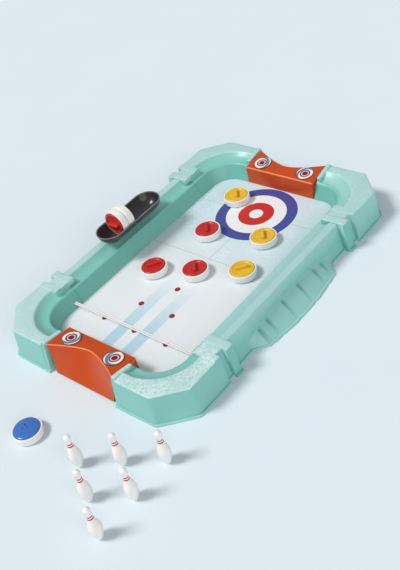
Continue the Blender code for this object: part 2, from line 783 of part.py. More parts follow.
def puck_base_mesh():
    """The white base of a puck: a cup with a low foot, standing on z = 0 about its own axis."""
    foot = PUCK_RADIUS - PUCK_FOOT_INSET
    inner = PUCK_RADIUS - PUCK_RIM_WALL
    profile = [
        (0, PUCK_FLOOR),
        (inner, PUCK_FLOOR),
        (inner, PUCK_RIM_HEIGHT),
        (PUCK_RADIUS - PUCK_BEVEL, PUCK_RIM_HEIGHT),
        (PUCK_RADIUS, PUCK_RIM_HEIGHT - PUCK_BEVEL),
        (PUCK_RADIUS, PUCK_FOOT_INSET),
        (foot, 0),
        (0, 0),
    ]
    mesh = turned_mesh("puck_base", profile, PUCK_SEGMENTS)
    smooth(mesh, 40)
    return mesh


def cap_profile(crown, dish=0.0):
    """The profile of a puck's cap, down its outer side; a dish leaves a raised ring round it."""
    edge = PUCK_RADIUS - PUCK_RIM_WALL - PART_GAP
    top = PUCK_RIM_HEIGHT + CAP_RISE
    points = []
    if dish:
        points += [(0, top - dish), (edge * (CAP_DISH_EDGE - 0.05), top - dish), (edge * CAP_DISH_EDGE, top)]
        shares = (0.95,)
    else:
        shares = (0, 0.4, 0.75, 0.95)
    for share in shares:
        points.append((edge * share, top + crown * (1 - share ** 2)))
    return points + [(edge, top - CAP_RISE / 2), (edge, PUCK_FLOOR + PART_GAP), (0, PUCK_FLOOR + PART_GAP)]


def handle_mesh():
    """The low bar on a curling puck's cap, its upper edges rounded."""
    low = PUCK_RIM_HEIGHT
    high = PUCK_RIM_HEIGHT + CAP_RISE + HANDLE_HEIGHT
    half = HANDLE_LENGTH / 2
    mesh = box_mesh("handle", (-half, -HANDLE_WIDTH / 2, low), (half, HANDLE_WIDTH / 2, high))
    obj = add("handle_bar", mesh, CUTTERS)
    bevel = obj.modifiers.new("edges", "BEVEL")
    bevel.width = HANDLE_ROUND
    bevel.segments = 2
    bevel.limit_method = "ANGLE"
    return baked("handle", obj)


def stone_cap_mesh():
    """A curling puck's cap with its handle."""
    cap = add("stone_cap", turned_mesh("stone_cap", cap_profile(CAP_CROWN, CAP_DISH), PUCK_SEGMENTS), CUTTERS)
    handle = add_cutter("handle", handle_mesh())
    boolean(cap, handle, "UNION")
    mesh = baked("stone_cap", cap)
    smooth(mesh, 40)
    return mesh


def bowl_cap_mesh():
    """The bowling puck's domed cap with three finger holes."""
    cap = add("bowl_cap", turned_mesh("bowl_cap", cap_profile(BOWL_CROWN), PUCK_SEGMENTS), CUTTERS)
    top = PUCK_RIM_HEIGHT + CAP_RISE + BOWL_CROWN
    for i in range(3):
        angle = math.tau * i / 3
        hole = cylinder_mesh("finger_hole", BOWL_HOLE, top - BOWL_HOLE_DEPTH, top + OVERRUN, 10)
        cutter = add_cutter("finger_hole", hole)
        reach = BOWL_HOLE_RING
        cutter.location = (reach * math.cos(angle), reach * math.sin(angle), 0)
        boolean(cap, cutter)
    mesh = baked("bowl_cap", cap)
    smooth(mesh, 40)
    return mesh


def place_puck(name, meshes, finish, place):
    """A puck's base and cap at a place given as a matrix."""
    for part, mesh, kind in (("base", meshes[0], "white"), ("cap", meshes[1], finish)):
        copy = mesh.copy()
        obj = add(f"{name}_{part}", copy, GAME, FINISH[kind])
        obj.matrix_world = place


def build_pucks():
    """Three red and three yellow pucks on the bed, two pucks in the rack and the bowling puck beside it."""
    base = puck_base_mesh()
    stone = stone_cap_mesh()
    lift = ICE_HEIGHT + PART_GAP
    for colour, shares, turns in (("red", RED_SHARES, RED_TURNS), ("yellow", YELLOW_SHARES, YELLOW_TURNS)):
        for i, ((x_share, y_share), turn) in enumerate(zip(shares, turns), 1):
            place = Matrix.Translation((x_share * HALF_WIDTH, y_share * HALF_LENGTH, lift))
            place @= Matrix.Rotation(math.radians(turn), 4, "Z")
            place_puck(f"{colour}_puck_{i}", (base, stone), colour, place)
    floor = RACK_AXIS - RACK_SLACK + PART_GAP
    front = Matrix.Translation((RACK_CENTRE, RACK_PUCK_PLACE, floor))
    back = Matrix.Translation((RACK_CENTRE, RACK_PUCK_PLACE + RACK_PUCK_GAP, floor))
    quarter = Matrix.Rotation(math.pi / 2, 4, "X")
    place_puck("red_puck_4", (base, stone), "red", front @ quarter)
    place_puck("yellow_puck_4", (base, stone), "yellow", back @ Matrix.Rotation(math.pi, 4, "Z") @ quarter)
    bowl = Matrix.Translation((FIRST_PIN - BOWL_RUN, PIN_LANE, 0))
    bowl @= Matrix.Rotation(math.radians(BOWL_TURN), 4, "Z")
    place_puck("bowling_puck", (base, bowl_cap_mesh()), "blue", bowl)
    bpy.data.meshes.remove(base)
    bpy.data.meshes.remove(stone)


def capsule_mesh(name, radius, length):
    """A capsule along Y, about the rack's axis."""
    straight = length / 2 - radius
    steps = RACK_SEGMENTS // 4
    profile = []
    for i in range(steps + 1):
        angle = math.pi / 2 * i / steps
        profile.append((radius * math.sin(angle), straight + radius * math.cos(angle)))
    profile += [(r, -z) for r, z in profile[::-1]]
    profile[0] = (0, profile[0][1])
    profile[-1] = (0, profile[-1][1])
    mesh = turned_mesh(name, profile, RACK_SEGMENTS)
    mesh.transform(Matrix.Rotation(math.pi / 2, 4, "X"))
    mesh.transform(Matrix.Translation((RACK_CENTRE, RACK_PLACE, RACK_AXIS)))
    return mesh


def build_rack():
    """The black puck rack: an open half capsule on a saddle that sits on the rail and hooks over its outer edge."""
    obj = add("puck_rack_solid", capsule_mesh("rack_outside", RACK_OUTER, RACK_LENGTH), CUTTERS)
    inside = add_cutter("rack_inside", capsule_mesh("rack_inside", RACK_INNER, RACK_LENGTH - RACK_WALL * 2))
    wide = RACK_OUTER + OVERRUN
    far = RACK_LENGTH / 2 + OVERRUN
    above = add_cutter("rack_opening", box_mesh(
        "rack_opening",
        (RACK_CENTRE - wide, RACK_PLACE - far, RACK_RIM),
        (RACK_CENTRE + wide, RACK_PLACE + far, RACK_AXIS + wide),
    ))
    lip = -(HALF_WIDTH + RAIL_WIDTH)
    under = LIP_HEIGHT + PART_GAP
    face = lip - HOOK_STANDOFF
    reach = lip + HOOK_REACH
    section = (
        (face, under - HOOK_DROP),
        (face, under),
        (reach, under),
        (reach, under + HOOK_THICK),
        (face + HOOK_THICK, under + HOOK_WEB),
        (face - HOOK_THICK, under + HOOK_THICK),
        (face - HOOK_THICK, under - HOOK_DROP),
    )
    rings = []
    for y in (RACK_PLACE - HOOK_LENGTH / 2, RACK_PLACE + HOOK_LENGTH / 2):
        rings.append([(x, y, z) for x, z in section])
    hook = add_cutter("rack_hook", loft_mesh("rack_hook", rings))
    boolean(obj, hook, "UNION")
    boolean(obj, inside)
    boolean(obj, above)
    mesh = baked("puck_rack", obj)
    smooth(mesh, 30)
    add("puck_rack", mesh, GAME, FINISH["black"])


def pin_mesh():
    """A bowling pin, standing on z = 0 about its own axis."""
    profile = []
    for height_share, radius_share in zip(PIN_HEIGHT_SHARES, PIN_RADIUS_SHARES):
        profile.append((PIN_FOOT * radius_share, PIN_HEIGHT * height_share))
    mesh = turned_mesh("pin", [(0, PIN_HEIGHT)] + profile[-2::-1] + [(0, 0)], PIN_SEGMENTS)
    smooth(mesh, 60)
    return mesh


def build_pins():
    """Six pins on the table in rows of one, two and three, each with its origin on the edge that it tips over."""
    mesh = pin_mesh()
    edge = PIN_FOOT * PIN_RADIUS_SHARES[0]
    mesh.transform(Matrix.Translation((-edge, 0, 0)))
    number = 0
    for row in range(3):
        for i in range(row + 1):
            number += 1
            copy = mesh.copy()
            pin = add(f"bowling_pin_{number}", copy, GAME, FINISH["white"])
            y = PIN_LANE + (i - row / 2) * PIN_SPACING
            pin.location = (FIRST_PIN + edge + row * PIN_ROW, y, 0)
    bpy.data.meshes.remove(mesh)


clear_scene()
GAME = new_collection("curling_and_bowling_game")
CUTTERS = new_collection("cutters")
FINISH = {
    "mint": material("mint_plastic", MINT, 0.38),
    "orange": material("orange_plastic", ORANGE, 0.32),
    "ice": material("printed_board", ICE, 0.30),
    "white": material("white_plastic", WHITE, 0.35),
    "red": material("red_plastic", RED, 0.35),
    "yellow": material("yellow_plastic", YELLOW, 0.35),
    "blue": material("blue_plastic", BLUE, 0.18),
    "black": material("black_plastic", BLACK, 0.40),
    "steel": material("zinc_steel", STEEL, 0.30, 1.0),
}
build_frame()
build_bed()
build_blocks()
build_cord()
build_pucks()
build_rack()
build_pins()
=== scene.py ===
"""Table-top curling and bowling game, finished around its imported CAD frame."""

import math

import bmesh
import bpy
import numpy as np
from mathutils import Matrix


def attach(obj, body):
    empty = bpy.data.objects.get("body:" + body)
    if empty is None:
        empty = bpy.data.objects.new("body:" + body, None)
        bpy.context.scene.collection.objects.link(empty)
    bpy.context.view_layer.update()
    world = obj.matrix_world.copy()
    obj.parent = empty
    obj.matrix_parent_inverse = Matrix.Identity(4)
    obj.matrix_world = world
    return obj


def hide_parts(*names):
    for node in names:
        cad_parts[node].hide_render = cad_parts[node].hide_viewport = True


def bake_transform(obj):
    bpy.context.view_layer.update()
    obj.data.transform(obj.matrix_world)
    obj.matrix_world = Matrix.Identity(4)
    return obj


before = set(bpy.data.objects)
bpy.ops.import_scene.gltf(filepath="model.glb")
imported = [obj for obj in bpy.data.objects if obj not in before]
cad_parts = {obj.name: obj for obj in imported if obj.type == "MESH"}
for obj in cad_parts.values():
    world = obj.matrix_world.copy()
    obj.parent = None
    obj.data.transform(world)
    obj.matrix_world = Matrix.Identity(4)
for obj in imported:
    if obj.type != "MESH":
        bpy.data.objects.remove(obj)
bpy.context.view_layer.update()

MM = 0.001

# Camera, table and lights. The board is seen from its right and from the launch end, a little
# rolled, as in the picture. The table is plain and pale. A broad lamp stands high on the left,
# and a wider, weaker one fills the shade from low on the right.
scene = bpy.context.scene
AIM = np.array([18.6, -24.7, 9.0]) * MM
TURN, FALL, ROLL = np.radians([49.782, 39.087, 16.295])
EYE_DISTANCE = 919.8 * MM
LENS_MM, SENSOR_MM = 77.0, 36.0
SIGHT_END = 20
flat = math.cos(FALL)
forward = np.array([-math.sin(TURN) * flat, math.cos(TURN) * flat, -math.sin(FALL)])
level = np.array([math.cos(TURN), math.sin(TURN), 0])
down = np.cross(forward, level)
across = math.cos(ROLL) * level + math.sin(ROLL) * down
below = math.cos(ROLL) * down - math.sin(ROLL) * level
camera = bpy.data.objects.new("camera", bpy.data.cameras.new("camera"))
scene.collection.objects.link(camera)
placed = np.eye(4)
placed[:3] = np.stack([across, -below, -forward, AIM - forward * EYE_DISTANCE], 1)
camera.matrix_world = placed.T.tolist()
camera.data.sensor_fit = "HORIZONTAL"
camera.data.sensor_width = SENSOR_MM
camera.data.lens = LENS_MM
camera.data.clip_end = SIGHT_END
scene.camera = camera
scene.view_settings.view_transform = "Standard"
COAT_ROUGHNESS = 0.12
SPECULAR = 0.32


def finish_material(name, roughness, coat=0.0):
    """A material of one Principled shader; returns the material, its node tree and the shader."""
    material = bpy.data.materials.new(name)
    material.use_nodes = True
    shader = material.node_tree.nodes["Principled BSDF"]
    shader.inputs["Roughness"].default_value = roughness
    shader.inputs["Coat Weight"].default_value = coat
    shader.inputs["Coat Roughness"].default_value = COAT_ROUGHNESS
    shader.inputs["Specular IOR Level"].default_value = SPECULAR
    return material, material.node_tree, shader


def put(socket, value):
    """Sets a socket to a number or colour, or links it to an output."""
    if isinstance(value, bpy.types.NodeSocket):
        socket.id_data.links.new(value, socket)
    else:
        socket.default_value = value


def maths(operation, first, second=0.0):
    """One step of arithmetic on values, in the first one's node tree, as in all that follow."""
    node = first.id_data.nodes.new("ShaderNodeMath")
    node.operation = operation
    put(node.inputs[0], first)
    put(node.inputs[1], second)
    return node.outputs[0]


def times(first, second):
    """The product of two values."""
    return maths("MULTIPLY", first, second)


def plus(first, second):
    """The sum of two values."""
    return maths("ADD", first, second)


def mixed(factor, first, second):
    """Two colours mixed by a factor."""
    node = factor.id_data.nodes.new("ShaderNodeMix")
    node.data_type = "RGBA"
    put(node.inputs["Factor"], factor)
    for socket, colour in ((node.inputs[6], first), (node.inputs[7], second)):
        put(socket, (*colour, 1) if isinstance(colour, tuple) else colour)
    return node.outputs[2]


def noise(place, scale, detail=2.0, distortion=0.0):
    """Noise from 0 to 1 at a place; scale is in repeats to the metre."""
    node = place.id_data.nodes.new("ShaderNodeTexNoise")
    put(node.inputs["Vector"], place)
    node.inputs["Scale"].default_value = scale
    node.inputs["Detail"].default_value = detail
    node.inputs["Distortion"].default_value = distortion
    return node.outputs["Fac"]


def object_place(tree):
    """Object coordinates, and their three parts."""
    texture = tree.nodes.new("ShaderNodeTexCoord")
    parts = tree.nodes.new("ShaderNodeSeparateXYZ")
    put(parts.inputs[0], texture.outputs["Object"])
    return texture.outputs["Object"], parts.outputs[0], parts.outputs[1], parts.outputs[2]


TABLE_TONES = ((0.66, 0.74, 0.80), (0.69, 0.77, 0.82))
TABLE_HALF = 3.0
TABLE_CLOUDS = 9
table_mesh = bpy.data.meshes.new("table")
square = [(TABLE_HALF * i, TABLE_HALF * j, 0) for i, j in ((-1, -1), (1, -1), (1, 1), (-1, 1))]
table_mesh.from_pydata(square, [], [(0, 1, 2, 3)])
table = bpy.data.objects.new("table", table_mesh)
scene.collection.objects.link(table)
table_finish, tree, shader = finish_material("pale_table", roughness=0.85)
clouds = noise(object_place(tree)[0], TABLE_CLOUDS)
put(shader.inputs["Base Color"], mixed(clouds, *TABLE_TONES))
table_mesh.materials.append(table_finish)

# Each lamp's name and strength, then its spread and its tilts in degrees. The camera sees the sky
# brighter than it lights the board.
LAMPS = (("lamp", 2.3, 18, (26, -27, 0)), ("fill", 1.35, 60, (20, 66, 0)))
LAMP_WHITE = (1.0, 0.985, 0.96)
SKY_BLUE = (0.92, 0.96, 1.0, 1)
SKY_LIGHT, SKY_SEEN = 0.36, 0.44
for name, strength, spread, tilt in LAMPS:
    lamp = bpy.data.objects.new(name, bpy.data.lights.new(name, "SUN"))
    lamp.data.energy = strength
    lamp.data.angle = math.radians(spread)
    lamp.data.color = LAMP_WHITE
    lamp.rotation_euler = [math.radians(angle) for angle in tilt]
    scene.collection.objects.link(lamp)
world = bpy.data.worlds.new("studio")
world.use_nodes = True
sky = world.node_tree.nodes["Background"]
sky.inputs["Color"].default_value = SKY_BLUE
to_camera = world.node_tree.nodes.new("ShaderNodeLightPath").outputs["Is Camera Ray"]
put(sky.inputs["Strength"], plus(times(to_camera, SKY_SEEN), SKY_LIGHT))
scene.world = world

# Playing bed: a laminated card printed with a curling sheet in pale blue and white, the target's
# rings, thin lines, two soft stripes up the lane and the dots that the pins stand on. It is held
# in a groove of the frame; its CAD plate is right as it is and only takes its print here.
HOUSE = 103.5 * MM
RINGS = (48.7 * MM, 35.9 * MM, 21.3 * MM, 8.3 * MM)
HOG_LINE = 14.6 * MM
LINE = 0.45 * MM
EDGE = 0.25 * MM
BLUE_RUN = (0.0, 75 * MM)
FROST_RUN = (52 * MM, 104 * MM)
FLECK_RUN = (0.72, 0.92)
BLUE_DRIFT, FROST_DRIFT, FLECK_DRIFT = 50 * MM, 35 * MM, 0.5
STRIPE_AT, STRIPE_HALF, STRIPE_SOFT = 14.5 * MM, 7.3 * MM, 1.2 * MM
STRIPE_RUN = (-12 * MM, -125 * MM)
DOTS = ((0.0, -41.1), (22.3, -76.4), (0.0, -111.7), (44.6, -111.7))
DOT_EDGE = (3.5 * MM, 3.1 * MM)
PRINT_DEPTH = (7.0 * MM, 8.6 * MM)
BLUE_INK, FROST_INK, FLECK_INK, STRIPE_INK = 0.85, 0.55, 0.5, 0.8
LINE_INK, LINE_ON_RINGS = 0.62, 0.35
ICE_ROUGHNESS, FINE_ROUGHNESS = 0.24, 0.16
WHITE_ICE = (0.74, 0.78, 0.81)
BLUE_ICE = (0.56, 0.70, 0.76)
FROST_ICE = (0.47, 0.66, 0.70)
FLECK_WHITE = (0.80, 0.83, 0.85)
STRIPE = (0.36, 0.60, 0.74)
LINE_GREY = (0.34, 0.39, 0.43)
RING_BLUE = (0.050, 0.068, 0.30)
RING_RED = (0.55, 0.018, 0.013)
RING_WHITE = (0.80, 0.81, 0.82)
DOT_RED = (0.28, 0.020, 0.032)
CARD_GREYS = ((0.62, 0.62, 0.60), (0.70, 0.70, 0.68))


def step(value, low, high):
    """A smooth rise from 0 at `low` to 1 at `high`; it falls where low is the greater."""
    node = value.id_data.nodes.new("ShaderNodeMapRange")
    node.interpolation_type = "SMOOTHSTEP"
    put(node.inputs["Value"], value)
    node.inputs["From Min"].default_value = low
    node.inputs["From Max"].default_value = high
    return node.outputs["Result"]


bed_finish, tree, shader = finish_material("printed_ice", roughness=0.32, coat=0.25)
place, x, y, z = object_place(tree)
cloud = noise(place, scale=34, detail=4)
fine = noise(place, scale=420, detail=3, distortion=1.2)
target_side = step(plus(y, times(cloud, BLUE_DRIFT)), *BLUE_RUN)
ice = mixed(times(target_side, BLUE_INK), WHITE_ICE, BLUE_ICE)
wide = maths("ABSOLUTE", x)
side = step(plus(wide, times(cloud, FROST_DRIFT)), *FROST_RUN)
ice = mixed(times(times(side, target_side), FROST_INK), ice, FROST_ICE)
flecks = step(plus(fine, times(cloud, FLECK_DRIFT)), *FLECK_RUN)
ice = mixed(times(flecks, FLECK_INK), ice, FLECK_WHITE)


def strip(value, middle, half, soft):
    """1 within `half` of a middle, falling to 0 over the soft edge."""
    apart = maths("ABSOLUTE", maths("SUBTRACT", value, middle))
    return step(apart, half + soft / 2, half - soft / 2)


fade = step(y, *STRIPE_RUN)
lane = times(strip(wide, STRIPE_AT, STRIPE_HALF, STRIPE_SOFT), fade)
ice = mixed(times(lane, STRIPE_INK), ice, STRIPE)
beyond_hog = step(y, HOG_LINE - EDGE, HOG_LINE + EDGE)
lines = times(strip(x, 0, LINE, EDGE), beyond_hog)
for line_y in (HOG_LINE, HOUSE):
    lines = maths("MAXIMUM", lines, strip(y, line_y, LINE, EDGE))
ice = mixed(times(lines, LINE_INK), ice, LINE_GREY)


def away_from(across, along, x_place, y_place):
    """Distance in a level plane from a point."""
    square_x = maths("POWER", maths("SUBTRACT", across, x_place), 2.0)
    square_y = maths("POWER", maths("SUBTRACT", along, y_place), 2.0)
    return maths("SQRT", plus(square_x, square_y))


from_house = away_from(x, y, 0.0, HOUSE)
for edge_radius, ring_colour in zip(RINGS, (RING_BLUE, RING_WHITE, RING_RED, RING_WHITE)):
    inside = step(from_house, edge_radius + EDGE, edge_radius - EDGE)
    if ring_colour == RING_WHITE:
        ring_colour = mixed(times(lines, LINE_ON_RINGS), ring_colour, LINE_GREY)
    ice = mixed(inside, ice, ring_colour)
for dot_x, dot_y in DOTS:
    from_dot = away_from(wide, y, dot_x * MM, dot_y * MM)
    ice = mixed(step(from_dot, *DOT_EDGE), ice, DOT_RED)
card = mixed(cloud, *CARD_GREYS)
put(shader.inputs["Base Color"], mixed(step(z, *PRINT_DEPTH), card, ice))
put(shader.inputs["Roughness"], plus(times(fine, FINE_ROUGHNESS), ICE_ROUGHNESS))


def dress(node, material):
    """Gives a CAD node that is right as it is its material."""
    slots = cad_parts[node].data.materials
    slots.clear()
    slots.append(material)


dress("rink_bed", bed_finish)

# Frame: two end frames with swept corners, moulded in mint plastic as a thin shell open below.
# A collar at each arm's end laps over the side rail. The corners' tops are moulded with frost.
WALL = 2.2 * MM
FOOT_RADIUS = 25 * MM
ARM_CENTRE = 60 * MM
END_CENTRE = 128 * MM
WALL_FOOT = 9.3 * MM
RIDGE = (32.5 * MM, 27.5 * MM)
BAND_START = 48.5 * MM
SIDE_OUT = 66 * MM
END_OUT = 61 * MM
CORNER_CUT = 28 * MM
CORNER_HEIGHT = 34.5 * MM
CORNER_DRAFT = 3.8 * MM
RAIL_DRAFT = 5.5 * MM
FLANGE = (2.2 * MM, 2.4 * MM)
FLANGE_ROUND = 0.5 * MM
LEDGE = (18 * MM, 3.7 * MM, 5.9 * MM)
GROOVE_BACK = 29.3 * MM
ROUND_STEPS = 5
MERGED = 2e-6
THINNEST = 1e-7
GRAIN_DEPTH = 0.2 * MM
GRAIN_UNDER_RELIEF = 0.3


def moulded_grain():
    """A group for every moulded piece: fine grain as a height, and a slow drift of tone."""
    group = bpy.data.node_groups.new("moulded_grain", "ShaderNodeTree")
    for name, start in (("Grain size", 1400.0), ("Drift size", 22.0)):
        socket = group.interface.new_socket(name, in_out="INPUT", socket_type="NodeSocketFloat")
        socket.default_value = start
    for name in ("Height", "Drift"):
        group.interface.new_socket(name, in_out="OUTPUT", socket_type="NodeSocketFloat")
    inner = group.nodes.new("NodeGroupInput")
    outer = group.nodes.new("NodeGroupOutput")
    place = group.nodes.new("ShaderNodeTexCoord").outputs["Object"]
    for size, result in (("Grain size", "Height"), ("Drift size", "Drift")):
        texture = group.nodes.new("ShaderNodeTexNoise")
        put(texture.inputs["Vector"], place)
        put(texture.inputs["Scale"], inner.outputs[size])
        texture.inputs["Detail"].default_value = 3.0
        put(outer.inputs[result], texture.outputs["Fac"])
    return group


GRAIN = moulded_grain()


def grain(shader, strength, size, relief=None):
    """Places the grain group: bump on the shader, over a relief if given; hands its drift back."""
    tree = shader.id_data
    node = tree.nodes.new("ShaderNodeGroup")
    node.node_tree = GRAIN
    node.inputs["Grain size"].default_value = size
    height = node.outputs["Height"]
    if relief is not None:
        height = plus(times(height, GRAIN_UNDER_RELIEF), relief)
    bump = tree.nodes.new("ShaderNodeBump")
    bump.inputs["Strength"].default_value = strength
    bump.inputs["Distance"].default_value = GRAIN_DEPTH
    put(bump.inputs["Height"], height)
    put(shader.inputs["Normal"], bump.outputs[0])
    return node.outputs["Drift"]


def clean(mesh, sharp):
    """Merges doubles, turns every face outwards and shades smooth but for hard edges."""
    bm = bmesh.new()
    bm.from_mesh(mesh)
    bmesh.ops.remove_doubles(bm, verts=bm.verts, dist=MERGED)
    bmesh.ops.dissolve_degenerate(bm, edges=bm.edges, dist=THINNEST)
    bmesh.ops.recalc_face_normals(bm, faces=bm.faces)
    bm.to_mesh(mesh)
    bm.free()
    mesh.shade_smooth()
    mesh.set_sharp_from_angle(angle=math.radians(sharp))


def surface(grid, sharp, caps=True, **values):
    """A skin over a grid of points: rows follow the piece, columns go round it, quads join them.

    Edges of more than `sharp` degrees stay hard, and the ends may be capped. Values give a number
    for each point, kept as attributes of their names.
    """
    rows, columns = grid.shape[:2]
    i, j = np.meshgrid(np.arange(rows - 1), np.arange(columns), indexing="ij")
    here, beside = i * columns + j, i * columns + (j + 1) % columns
    faces = np.stack([here, beside, beside + columns, here + columns], -1).reshape(-1, 4).tolist()
    if caps:
        faces += [list(range(columns))[::-1], list(range((rows - 1) * columns, rows * columns))]
    mesh = bpy.data.meshes.new("skin")
    mesh.from_pydata(grid.reshape(-1, 3).tolist(), [], faces)
    for attribute, numbers in values.items():
        layer = mesh.attributes.new(attribute, "FLOAT", "POINT")
        layer.data.foreach_set("value", np.asarray(numbers, np.float32).reshape(-1))
    clean(mesh, sharp)
    return mesh


def joined(meshes, sharp):
    """Several meshes as one, shaded smooth but for hard edges."""
    bm = bmesh.new()
    for mesh in meshes:
        bm.from_mesh(mesh)
        bpy.data.meshes.remove(mesh)
    whole = bpy.data.meshes.new("skin")
    bm.to_mesh(whole)
    bm.free()
    whole.shade_smooth()
    whole.set_sharp_from_angle(angle=math.radians(sharp))
    return whole


def piece(name, mesh, material, body, slot, *nodes):
    """Puts a finished piece in the scene, on its body if given, in place of its CAD nodes."""
    mesh.name = name
    mesh.materials.clear()
    mesh.materials.append(material)
    obj = bpy.data.objects.new(name, mesh)
    scene.collection.objects.link(obj)
    if body:
        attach(obj, body)
    if nodes:
        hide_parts(*nodes)
    return obj


def softened(corners, cuts, steps=ROUND_STEPS):
    """Rounds polylines: each corner becomes a quadratic curve between its two cut-back points.

    `corners` is (stations, corners, 2), and `cuts` how far each is cut back along its two sides.
    """
    before = np.concatenate([corners[:, :1], corners[:, :-1]], 1) - corners
    after = np.concatenate([corners[:, 1:], corners[:, -1:]], 1) - corners
    start, end = (corners + side / np.maximum(np.linalg.norm(side, axis=2)[..., None], 1e-9)
                  * cuts[:, None] for side in (before, after))
    t = np.linspace(0, 1, steps)[:, None]
    start, middle, end = start[:, :, None], corners[:, :, None], end[:, :, None]
    curve = (1 - t) ** 2 * start + 2 * t * (1 - t) * middle + t ** 2 * end
    return curve.reshape(corners.shape[0], -1, 2)


def moved_in(corners, wall):
    """The polylines moved sideways by the wall, with mitred corners, for every station at once."""
    along = np.diff(corners, axis=1)
    along /= np.linalg.norm(along, axis=2, keepdims=True)
    normal = np.stack([along[..., 1], -along[..., 0]], -1)
    first = np.concatenate([normal[:, :1], normal], 1)
    last = np.concatenate([normal, normal[:, -1:]], 1)
    mitre = first + last
    mitre /= (mitre * first).sum(2, keepdims=True)
    return corners + mitre * wall


# The section's corners are counted from the inside: foot, ridge, four in the cove, the band's
# start, its outer edge, and the outer face's base. Each is cut back by its own length.
COVE = (0.28, 0.5, 0.7, 0.86)
COVE_SAG = 2.3 * MM
RIB_EDGE, BAND_CORNER, EDGE_CORNER = 4, 6, 7
SKIN_CUTS = np.array([0, 1.8, 1.2, 1.2, 1.2, 0.9, 0.9, 2.0, 0.0]) * MM


def polylines(stations, *places):
    """Places (r, z), each one number or one for every station, as (stations, places, 2)."""
    return np.stack([np.stack([r + 0 * stations, z + 0 * stations], -1) for r, z in places], 1)


def skin_corners(reach, height, draft):
    """Corners of the shell's outer surface at each station, from the foot to the base.

    The cove is a straight rise from ridge to band less a half sine of the sag.
    """
    run, rise = BAND_START - RIDGE[0], height - RIDGE[1]
    cove = [(RIDGE[0] + run * share, RIDGE[1] + rise * share - COVE_SAG * math.sin(math.pi * share))
            for share in COVE]
    return polylines(reach, (FOOT_RADIUS, WALL_FOOT), RIDGE, *cove, (BAND_START, height),
                     (reach, height), (reach + draft, FLANGE[1]))


def closed_section(corners, cuts):
    """Closes the outer surface with the flange, the underside one wall in, and the bed's groove.

    It returns the points and, for each, whether it belongs to the underside.
    """
    base = corners[:, -1, 0]
    lip = base + FLANGE[0]
    outer = softened(corners, cuts)
    flange = polylines(base, (lip - FLANGE_ROUND, FLANGE[1]), (lip, FLANGE[1] - FLANGE_ROUND),
                       (lip, 0), (base - WALL, 0))
    inner = moved_in(corners, WALL)[:, 1:-1][:, ::-1]
    groove = polylines(base, (GROOVE_BACK + WALL, LEDGE[1]), (LEDGE[0], LEDGE[1]),
                       (LEDGE[0], LEDGE[2]), (GROOVE_BACK, LEDGE[2]), (GROOVE_BACK, WALL_FOOT))
    hidden = np.repeat([False, True, False],
                       (outer.shape[1] + 3, inner.shape[1] + 1, groove.shape[1]))
    return np.concatenate([outer, flange, inner, groove], 1), hidden


def smooth_least(values, soft):
    """The least of several arrays, its edges rounded by the log of a sum of exponentials."""
    values = np.stack(values)
    low = values.min(0)
    return low - soft * np.log(np.exp((low - values) / soft).sum(0))


def eased(value, low, high):
    """0 below low, 1 above high, and a smooth rise between."""
    t = np.clip((value - low) / (high - low), 0, 1)
    return t * t * (3 - 2 * t)


# The collar is two ribs along the arm: one on the rail, from the first place to the second, and
# one on the end frame, from the third to the fourth. The fin stands beside the block.
RIB = (97 * MM, 107.2 * MM, 116.4 * MM, 124.4 * MM)
RIB_HEIGHT = 35.5 * MM
RIB_START = 38.0 * MM
RIB_TOE = (0.3 * MM, 28.2 * MM)
RIB_BEVEL = 1.2 * MM
RIB_LEAN = 0.2 * MM
RIB_CORNERS = ((3, 0.0), (4, 0.001), (5, 0.25), (6, 0.5))
RECESS_HEIGHT = 34.6 * MM
COLLAR_DROP = (6 * MM, 1.0 * MM)
FIN_START = (34.7 * MM, 32.6 * MM)
FIN_END = (59.4 * MM, 37.2 * MM)
FIN_SIDES = (48.2 * MM, 48.6 * MM, 52.9 * MM, 53.6 * MM)
SOFT = 0.7 * MM
FACET_SOFT = 0.5 * MM
BRIDGE_OUT = 53.5 * MM
BRIDGE_TOP = 9 * MM
BRIDGE_GROOVE = 7.5 * MM
BRIDGE_END = (48.0 * MM, 48.5 * MM)
UNDERSIDE_END = (50.2 * MM, 50.7 * MM)
BRIDGE_PATH = np.array([
    0, 40, 48.0, 48.25, 48.5, 49.0, 50.2, 50.7, 52.4, 52.9, 53.2, 53.5, 53.9, 55.4, 57.6]) * MM
CORNER_PATH = np.radians(np.concatenate([
    np.arange(0, 31, 3), np.arange(31, 66, 1.6), np.arange(67, 91, 2.875)]))
ARM_PATH = np.concatenate([
    [127], np.linspace(126.4, 123.6, 9), [120.5], np.linspace(117.6, 115.4, 9), [112, 106]]) * MM
ARM_TURN = 1.5
PALE_FROM = 48.4 * MM
TOP_RUN = (RIDGE[0], RIDGE[0] + 5 * MM)
TOP_FROM = 24 * MM
WALL_PALE, COVE_PALE, FLANGE_PALE = 0.22, 0.15, 0.5
# How pale each quarter's band and cove are, and how frosted each is.
QUARTERS = {"far_left": (0.85, 0, 0.05, 0), "far_right": (0.75, 0.45, 0.25, 0.1),
            "near_right": (0.85, 0, 1, 0), "near_left": (1, 0, 0.5, 0)}


def raised_rib(corners, share, reach, height, start):
    """Fills the cove under a flat rib: cove and band rise to it as share goes from 0 to 1."""
    raised = corners.copy()
    for place, along in RIB_CORNERS:
        raised[:, place, 0] = start + (reach - start) * along
        raised[:, place, 1] = height
    raised[:, 2] = [start - RIB_TOE[0], RIB_TOE[1]]
    raised[:, 3, 1] = height - RIB_BEVEL
    raised[:, EDGE_CORNER, 0] = reach - RIB_LEAN
    raised[:, EDGE_CORNER, 1] = height
    return corners + (raised - corners) * share[:, None, None]


